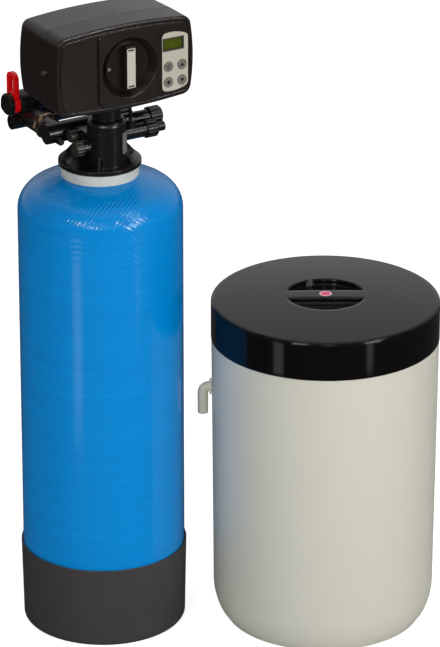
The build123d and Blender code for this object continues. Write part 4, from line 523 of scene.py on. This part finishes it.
pointer_inset = 0.0045
pointer_radius = 0.0023
pointer_from_back = 0.007
pointer_depth = sign_depth * 3
dial_low, dial_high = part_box("dial")
pointer_x = dial_low[0] + pointer_inset
pointer_z = (dial_low[2] + dial_high[2]) / 2
pointer_front = dial_high[1] - pointer_from_back - pointer_depth
pointer = circle(pointer_x, pointer_z, pointer_radius, disc_count)
flat_piece("dial_pointer_dot", [pointer], pointer_front, pointer_depth, pointer_grey, "dial_train")


def face_along(piece, direction):
    """Turn a camera or lamp to look along a direction."""
    piece.rotation_euler = direction.to_track_quat("-Z", "Y").to_euler()


# Camera, matched to the photograph

camera_data = bpy.data.cameras.new("camera")
camera = bpy.data.objects.new("camera", camera_data)
bpy.context.scene.collection.objects.link(camera)
camera.location = (-2524.16 * mm, -4565.37 * mm, 2637.5 * mm)
face_along(camera, Vector((0.4676, 0.7914, -0.3938)))
camera_data.lens = 250.4
camera_data.sensor_width = 36.0
camera_data.sensor_fit = "AUTO"
camera_data.clip_end = 40.0
bpy.context.scene.camera = camera


# Pale floor, dim in glossy reflections and lifted to white for the camera

floor_tone = grey(0.9)
floor_tone_in_gloss = grey(0.08)
floor_camera_white = 0.74
white_light = grey(1.0)


def pale_floor():
    """Floor material that keeps the object's shadow."""
    material, shader = new_material("pale floor", floor_tone, roughness=0.9)
    set_inputs(shader, {"Specular IOR Level": 0.1, "Emission Color": white_light})
    path = add_node(material, "ShaderNodeLightPath")
    colour = mix_colours(material, path.outputs["Is Glossy Ray"], floor_tone, floor_tone_in_gloss)
    link(material, colour, shader.inputs["Base Color"])
    emission = add_node(material, "ShaderNodeMath", operation="MULTIPLY")
    link(material, path.outputs["Is Camera Ray"], emission.inputs[0])
    emission.inputs[1].default_value = floor_camera_white
    link(material, emission.outputs["Value"], shader.inputs["Emission Strength"])
    return material


floor_mesh = bpy.data.meshes.new("floor")
floor_half = 8.0
corners = [(-floor_half, -floor_half, 0), (floor_half, -floor_half, 0), (floor_half, floor_half, 0),
           (-floor_half, floor_half, 0)]
floor_mesh.from_pydata(corners, [], [(0, 1, 2, 3)])
floor = bpy.data.objects.new("floor", floor_mesh)
bpy.context.scene.collection.objects.link(floor)
floor.data.materials.append(pale_floor())
floor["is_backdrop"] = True


# Soft studio light


def area_light(name, place, target, width, power, height=None):
    """Area lamp that points at a target; it is square where no height is given."""
    light = bpy.data.lights.new(name, "AREA")
    light.energy = power
    light.size = width
    if height:
        light.shape = "RECTANGLE"
        light.size_y = height
    piece = bpy.data.objects.new(name, light)
    bpy.context.scene.collection.objects.link(piece)
    piece.location = place
    face_along(piece, Vector(target) - piece.location)


middle = (0.12, -0.06, 0.4)
head_middle = (0.0, -0.06, 0.78)
low_between = (0.25, -0.13, 0.17)
area_light("key light", (1.0, -3.0, 1.4), middle, width=0.9, power=36, height=0.35)
area_light("left light", (-2.0, -1.6, 1.8), middle, width=0.7, power=20, height=0.25)
area_light("front fill", (-1.6, -3.6, 2.6), middle, width=0.8, power=12)
area_light("top light", (0.1, -0.2, 3.0), middle, width=2.4, power=10)
area_light("edge light", (1.4, -1.86, 2.75), head_middle, width=0.8, power=9, height=0.1)
area_light("left strip", (-0.62, -0.355, 0.17), low_between, width=0.15, power=0.16, height=0.3)
area_light("right strip", (0.425, -1.1, 0.17), low_between, width=0.1, power=0.12, height=0.3)


def studio_world():
    """Bright towards the back, the right and up, dim elsewhere; plain white to the camera."""
    bright_direction = (0.42, 0.82, 0.38)
    world = bpy.data.worlds.new("studio")
    bpy.context.scene.world = world
    world.use_nodes = True
    nodes = world.node_tree.nodes
    links = world.node_tree.links
    around = nodes["Background"]
    set_inputs(around, {"Color": white_light})
    direction = nodes.new("ShaderNodeTexCoord")
    towards = nodes.new("ShaderNodeVectorMath")
    towards.operation = "DOT_PRODUCT"
    towards.inputs[1].default_value = bright_direction
    links.new(direction.outputs["Generated"], towards.inputs[0])
    strength = nodes.new("ShaderNodeMapRange")
    set_inputs(strength, {"From Min": 0.4, "From Max": 0.92, "To Min": 0.16, "To Max": 0.62})
    links.new(towards.outputs["Value"], strength.inputs["Value"])
    links.new(strength.outputs["Result"], around.inputs["Strength"])
    white_back = nodes.new("ShaderNodeBackground")
    set_inputs(white_back, {"Color": white_light, "Strength": 1.0})
    chooser = nodes.new("ShaderNodeMixShader")
    path = nodes.new("ShaderNodeLightPath")
    links.new(path.outputs["Is Camera Ray"], chooser.inputs["Fac"])
    links.new(around.outputs["Background"], chooser.inputs[1])
    links.new(white_back.outputs["Background"], chooser.inputs[2])
    links.new(chooser.outputs["Shader"], nodes["World Output"].inputs["Surface"])


studio_world()

bpy.context.scene.view_settings.view_transform = "Standard"

bounds_at_end = plain(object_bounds())
